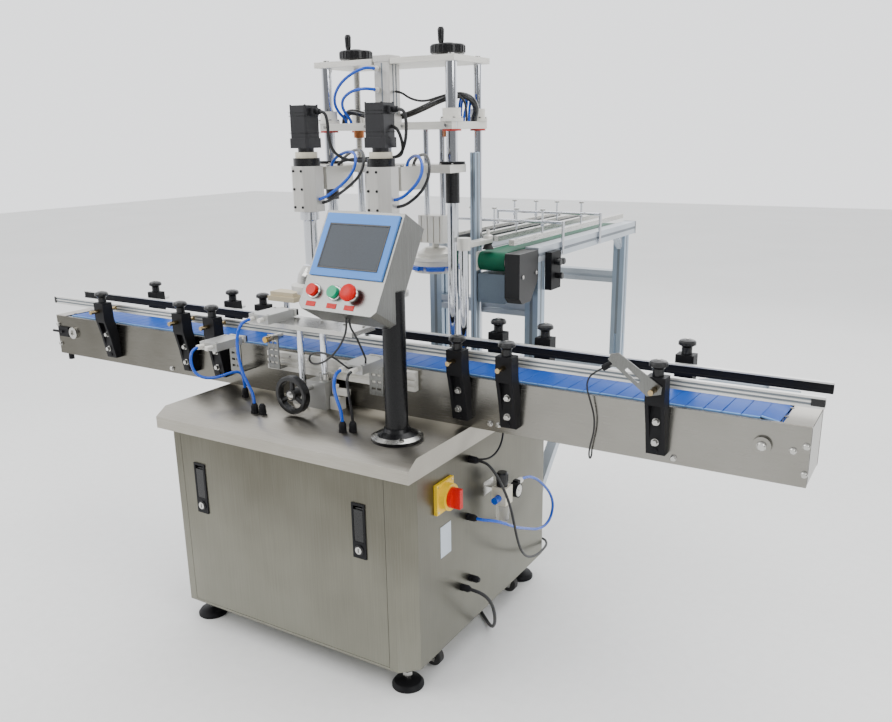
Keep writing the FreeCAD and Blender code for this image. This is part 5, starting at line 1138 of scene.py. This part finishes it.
# Hoses and cables with no CAD solid: name, diameter, finish, slot, body and route.
FREE_HOSES = (
    ("left_clamp_hose", 8, HOSE_BLUE, "blue_hose", "machine",
     [(-339, 110, 772), (-339, 96, 771), (-338, 82, 758), (-333, 76, 734), (-324, 80, 708),
      (-308, 96, 694), (-290, 124, 692), (-274, 156, 700), (-265, 182, 698), (-264, 195, 678),
      (-264, 195, 649)]),
    ("right_clamp_hose", 8, HOSE_BLUE, "blue_hose", "machine",
     [(140, 110, 772), (140, 97, 771), (140, 84, 760), (142, 78, 736), (146, 82, 706),
      (149, 92, 678), (149, 95, 649)]),
    ("right_clamp_return", 7, HOSE_BLACK, "black_rubber", "machine",
     [(172, 110, 772), (172, 98, 771), (174, 88, 758), (178, 86, 734), (176, 94, 704),
      (171, 105, 676), (170, 108, 649)]),
    ("drive_cable", 5, CABLE, "black_rubber", "machine",
     [(416, 288, 536.5), (430, 289, 538), (446, 300, 543), (452, 330, 557), (444, 366, 580),
      (428, 392, 602), (418, 404, 615), (417, 406, 622)]),
    ("display_cable", 5, CABLE, "black_rubber", "machine",
     [(200, 64, 912), (199, 65, 896), (190, 70, 872), (166, 80, 842), (132, 94, 812),
      (98, 108, 790), (66, 116, 776), (44, 118, 774), (36, 118, 786), (46, 116, 800),
      (74, 112, 808), (104, 107, 808), (132, 104, 800), (150, 107, 788), (157, 114, 779),
      (158, 120, 776.5), (158, 130, 776)]),
    ("reed_cable", 5, CABLE, "black_rubber", "machine",
     [(206, 66, 910), (206, 67, 894), (212, 78, 872), (210, 96, 846), (202, 120, 818),
      (192, 140, 802), (184, 152, 794), (180, 156, 790), (179, 157, 783)]),
    ("lift_hose_high", 8, HOSE_BLUE, "blue_hose", "height_platform",
     [(-17, 508, 1478), (-18, 494, 1479), (-34, 486, 1479), (-72, 486, 1468), (-116, 492, 1446),
      (-150, 506, 1418), (-168, 526, 1392), (-172, 552, 1368), (-166, 572, 1354),
      (-165, 574, 1341)]),
    ("lift_hose_low", 8, HOSE_BLUE, "blue_hose", "height_platform",
     [(-17, 508, 1425), (-18, 495, 1426), (-36, 488, 1428), (-78, 490, 1424), (-118, 502, 1408),
      (-140, 522, 1388), (-146, 546, 1366), (-142, 562, 1352), (-141, 564, 1341)]),
    ("black_conduit", 17, HOSE_BLACK, "black_rubber", "height_platform",
     [(-186, 592, 1341), (-185, 591, 1356), (-164, 588, 1376), (-116, 589, 1364), (-52, 596, 1353),
      (14, 597, 1357), (81, 588, 1376), (136, 586, 1396), (184, 600, 1410), (214, 622, 1400),
      (218, 640, 1372), (204, 652, 1354), (202, 653, 1341)]),
    ("conduit_cable", 6, CABLE, "black_rubber", "height_platform",
     [(22, 548, 1420), (38, 549, 1419), (64, 556, 1400), (104, 562, 1392), (150, 566, 1404),
      (184, 576, 1412), (206, 594, 1398), (206, 608, 1366), (204, 610, 1341)]),
    ("arch_hose_inner", 7, HOSE_BLUE, "blue_hose", "height_platform",
     [(166, 646, 1341), (166, 646, 1364), (172, 640, 1394), (188, 632, 1402), (198, 626, 1388),
      (190, 622, 1360), (188, 622, 1341)]),
    ("arch_hose_outer", 7, HOSE_BLUE, "blue_hose", "height_platform",
     [(154, 656, 1341), (154, 656, 1368), (162, 650, 1402), (182, 642, 1414), (204, 634, 1400),
      (200, 630, 1364), (200, 630, 1341)]),
    ("motor_cable_loop", 8, CABLE, "black_rubber", "head_carrier",
     [(-76, 349.5, 1369), (-62, 350, 1368), (-56, 352, 1344), (-60, 357, 1304), (-56, 366, 1272),
      (-40, 384, 1252), (-11, 402, 1245), (47, 404, 1246), (100, 400, 1250), (142, 388, 1262),
      (168, 370, 1290), (182, 356, 1325), (184, 350, 1354), (176, 349.5, 1369),
      (162, 349.5, 1369)]),
    ("motor_cable_drop", 8, CABLE, "black_rubber", "head_carrier",
     [(136, 360, 1330), (148, 361, 1328), (158, 366, 1306), (156, 378, 1276), (136, 396, 1258),
      (96, 416, 1254), (40, 436, 1252), (-30, 446, 1250), (-80, 450, 1246), (-104, 452, 1239),
      (-106, 452, 1231)]),
    ("left_head_hose", 8, HOSE_BLUE, "blue_hose", "head_carrier",
     [(-90, 345, 1150), (-74, 345, 1153), (-40, 346, 1172), (-8, 347, 1193), (15, 352, 1217),
      (18, 366, 1242), (0, 388, 1266), (-40, 410, 1270), (-84, 424, 1258), (-108, 428, 1242),
      (-110, 428, 1231)]),
    ("left_head_return", 8, HOSE_BLACK, "black_rubber", "head_carrier",
     [(-90, 358, 1140), (-72, 358, 1143), (-36, 359, 1163), (2, 361, 1186), (30, 366, 1212),
      (34, 380, 1242), (14, 404, 1270), (-36, 436, 1274), (-88, 466, 1258), (-114, 474, 1242),
      (-116, 474, 1231)]),
    ("right_head_hose", 8, HOSE_BLUE, "blue_hose", "head_carrier",
     [(148, 345, 1154), (164, 345, 1156), (192, 346, 1174), (216, 348, 1197), (226, 354, 1222),
      (214, 372, 1246), (184, 400, 1260), (148, 428, 1256), (126, 440, 1242), (124, 441, 1231)]),
    ("right_head_return", 8, HOSE_BLACK, "black_rubber", "head_carrier",
     [(148, 358, 1136), (166, 358, 1138), (198, 360, 1157), (226, 363, 1184), (236, 370, 1216),
      (224, 390, 1246), (190, 424, 1262), (150, 456, 1258), (126, 470, 1242), (124, 471, 1231)]))


@dataclass
class Pneumatics:
    """Hoses, cables and the mains lead."""

    datum: Datum

    def build(self) -> None:
        """Builds every cord on its route."""
        d = self.datum
        t = d.table
        arm = t + 217
        plug = dress(d, "mains_plug", RED_PLUG, "black_rubber", (STEEL, within(x1=-4.2)),
                     (RUBBER, within(x0=50.1)))
        arrival = [(416, 244, 198), (438, 245, 197), (456, 254, 184), (463, 268, 160), (461, 286, 128),
                   (452, 308, 92), (437, 334, 56), (416, 362, 26), (392, 390, 9), (362, 420, 5.0),
                   (326, 452, 5.0), (288, 490, 5.0), (254, 540, 5.0), (226, 602, 5.0), (204, 668, 5.0),
                   (190, 736, 5.0), (182, 790, 5.0)]
        leave = [(122, 929.8, 21.0), (106, 929.5, 19.4), (92, 929.5, 19.0)]
        route = coil_route((130.0, 870.0), arrival, leave)
        Cord("mains_lead_cord", route, 9, CABLE, "black_rubber", far_end="plug",
             stands_for=("mains_lead", "mains_coil"), with_pieces=(plug,)).build(d)
        Cord("regulator_hose", [(444, 468, 422), (444, 500, 420), (445, 556, 396), (446, 610, 356),
                                (447, 656, 312), (447, 680, 268), (447, 664, 232), (447, 622, 222),
                                (446, 570, 234), (446, 510, 262), (450, 446, 292), (456, 392, 322),
                                (460, 344, 350), (458, 312, 368), (448, 290, 378), (434, 279, 380),
                                (416, 278, 380)], 8, HOSE_BLUE, "blue_hose",
             stands_for=("hose_regulator",)).build(d)
        Cord("arm_hose", [(-158, 123.6, arm + 24), (-158, 104, arm + 24), (-160, 88, arm + 10),
                          (-163, 80, arm - 18), (-163, 80, arm - 60), (-158, 84, arm - 104),
                          (-150, 94, arm - 140), (-142, 102, arm - 168), (-142, 102.2, t + 27)], 8, HOSE_BLUE,
             "blue_hose", stands_for=("hose_arm",)).build(d)
        Cord("rear_cable", [(416, 288, 532), (434, 288, 532), (452, 291, 518), (465, 304, 486),
                            (472, 328, 440), (475, 350, 392), (475, 368, 346), (471, 392, 296),
                            (462, 430, 244), (449, 482, 196), (435, 548, 154), (423, 620, 124),
                            (412, 686, 108), (404, 734, 102), (388, 764, 101), (366, 770, 102),
                            (354, 754, 103), (351, 732, 103)], 7, CABLE, "black_rubber",
             stands_for=("cable_rear",)).build(d)
        Cord("sensor_cable", [(744, 250, t + 200), (728, 250, 812), (711, 252, 797), (704, 257, 772),
                              (712, 263, 740), (722, 266, 704), (722, 267, 668), (715, 266, 638),
                              (712, 265, 616), (712, 270, 601), (712, 279, 600), (713, 281.5, 609),
                              (713, 281, t)], 4, CABLE, "black_rubber", stiffness="limp",
             stands_for=("cable_sensor",)).build(d)
        self.extra_hoses()

    def extra_hoses(self) -> None:
        """Builds the hoses at the clamps and on the gantry."""
        for name, diameter, finish, slot, body, route in FREE_HOSES:
            Cord(name, route, diameter, finish, slot, body=body).build(self.datum)


class Studio:
    """Pale floor, soft lights and the camera at the viewing angle."""

    def build(self) -> None:
        """Makes the floor, lights, world and camera."""
        self.camera()
        mesh = bpy.data.meshes.new("studio_floor")
        size = 14.0
        mesh.from_pydata([(-size, -size, 0), (size, -size, 0), (size, size, 0), (-size, size, 0)], [],
                         [(0, 1, 2, 3)])
        mesh.materials.append(FINISHER.material(FLOOR))
        floor = bpy.data.objects.new("studio_floor", mesh)
        bpy.context.scene.collection.objects.link(floor)
        world = bpy.data.worlds.new("soft_room")
        bpy.context.scene.world = world
        world.use_nodes = True
        tree = world.node_tree
        way = add_node(tree, "TexCoord").outputs["Generated"]
        back = add_node(tree, "VectorMath", {0: way, 1: (-0.52, 0.85, 0.0)},
                        operation="DOT_PRODUCT").outputs["Value"]
        high = add_node(tree, "SeparateXYZ", {"Vector": way}).outputs[2]
        wall = add_node(tree, "MapRange", {"Value": back, "From Min": -0.45, "From Max": 0.35, "To Min": 0.28,
                                           "To Max": 1.9}).outputs[0]
        roof = add_node(tree, "MapRange", {"Value": high, "From Min": 0.3, "From Max": 0.8, "To Min": 0.28,
                                           "To Max": 1.5}).outputs[0]
        strength = add_node(tree, "Math", {0: wall, 1: roof}, operation="MAXIMUM").outputs[0]
        sky = tree.nodes["Background"]
        sky.inputs["Color"].default_value = (0.97, 0.98, 1.0, 1.0)
        tree.links.new(strength, sky.inputs["Strength"])
        for name, place, size, power in (
                ("key", (-2.6, -3.4, 3.6), 2.6, 110.0), ("fill", (3.8, -1.6, 2.6), 2.0, 55.0),
                ("top", (0.3, 0.4, 4.2), 3.2, 70.0), ("back", (0.5, 4.0, 2.6), 2.4, 30.0)):
            lamp = bpy.data.lights.new(name, "AREA")
            lamp.size = size
            lamp.energy = power
            obj = bpy.data.objects.new(name, lamp)
            obj.matrix_world = aimed(Vector(place), Vector((0, 0, 0.8)), 0.0)
            bpy.context.scene.collection.objects.link(obj)

    def camera(self) -> None:
        """Makes the camera: lens of 34.4 mm, right of the front and above."""
        data = bpy.data.cameras.new("camera")
        data.lens = 34.43
        data.sensor_width = 36.0
        data.shift_x = -0.0028
        data.shift_y = 0.0204
        data.clip_end = 60.0
        place = Vector((1.3795, -2.1906, 1.3102))
        ahead = Vector((-0.4970, 0.8225, -0.2765))
        obj = bpy.data.objects.new("camera", data)
        obj.matrix_world = aimed(place, place + ahead, math.radians(-0.774))
        bpy.context.scene.collection.objects.link(obj)
        bpy.context.scene.camera = obj


def aimed(place: Vector, target: Vector, roll: float) -> Matrix:
    """Gives the placement of a lamp or camera that looks at a target.

    Args:
        place: where it stands.
        target: where it looks.
        roll: turn about its own axis, in radians.

    Returns:
        Its world matrix.
    """
    turn = (target - place).to_track_quat("-Z", "Y").to_matrix().to_4x4()
    return Matrix.Translation(place) @ turn @ Matrix.Rotation(roll, 4, "Z")


FINISHER = Finisher()


def main() -> None:
    """Builds the studio and every sub-assembly."""
    logging.basicConfig(level=logging.INFO, format="%(name)s: %(message)s")
    datum = Datum()
    Studio().build()
    Pneumatics(datum).build()
    for part in (Cabinet(datum), Conveyor(datum), ControlBox(datum), SideFittings(datum), Gantry(datum),
                 Clamps(datum), Feeder(datum)):
        part.build()
        LOG.info("%s finished", type(part).__name__)


if __name__ == "__main__":
    main()
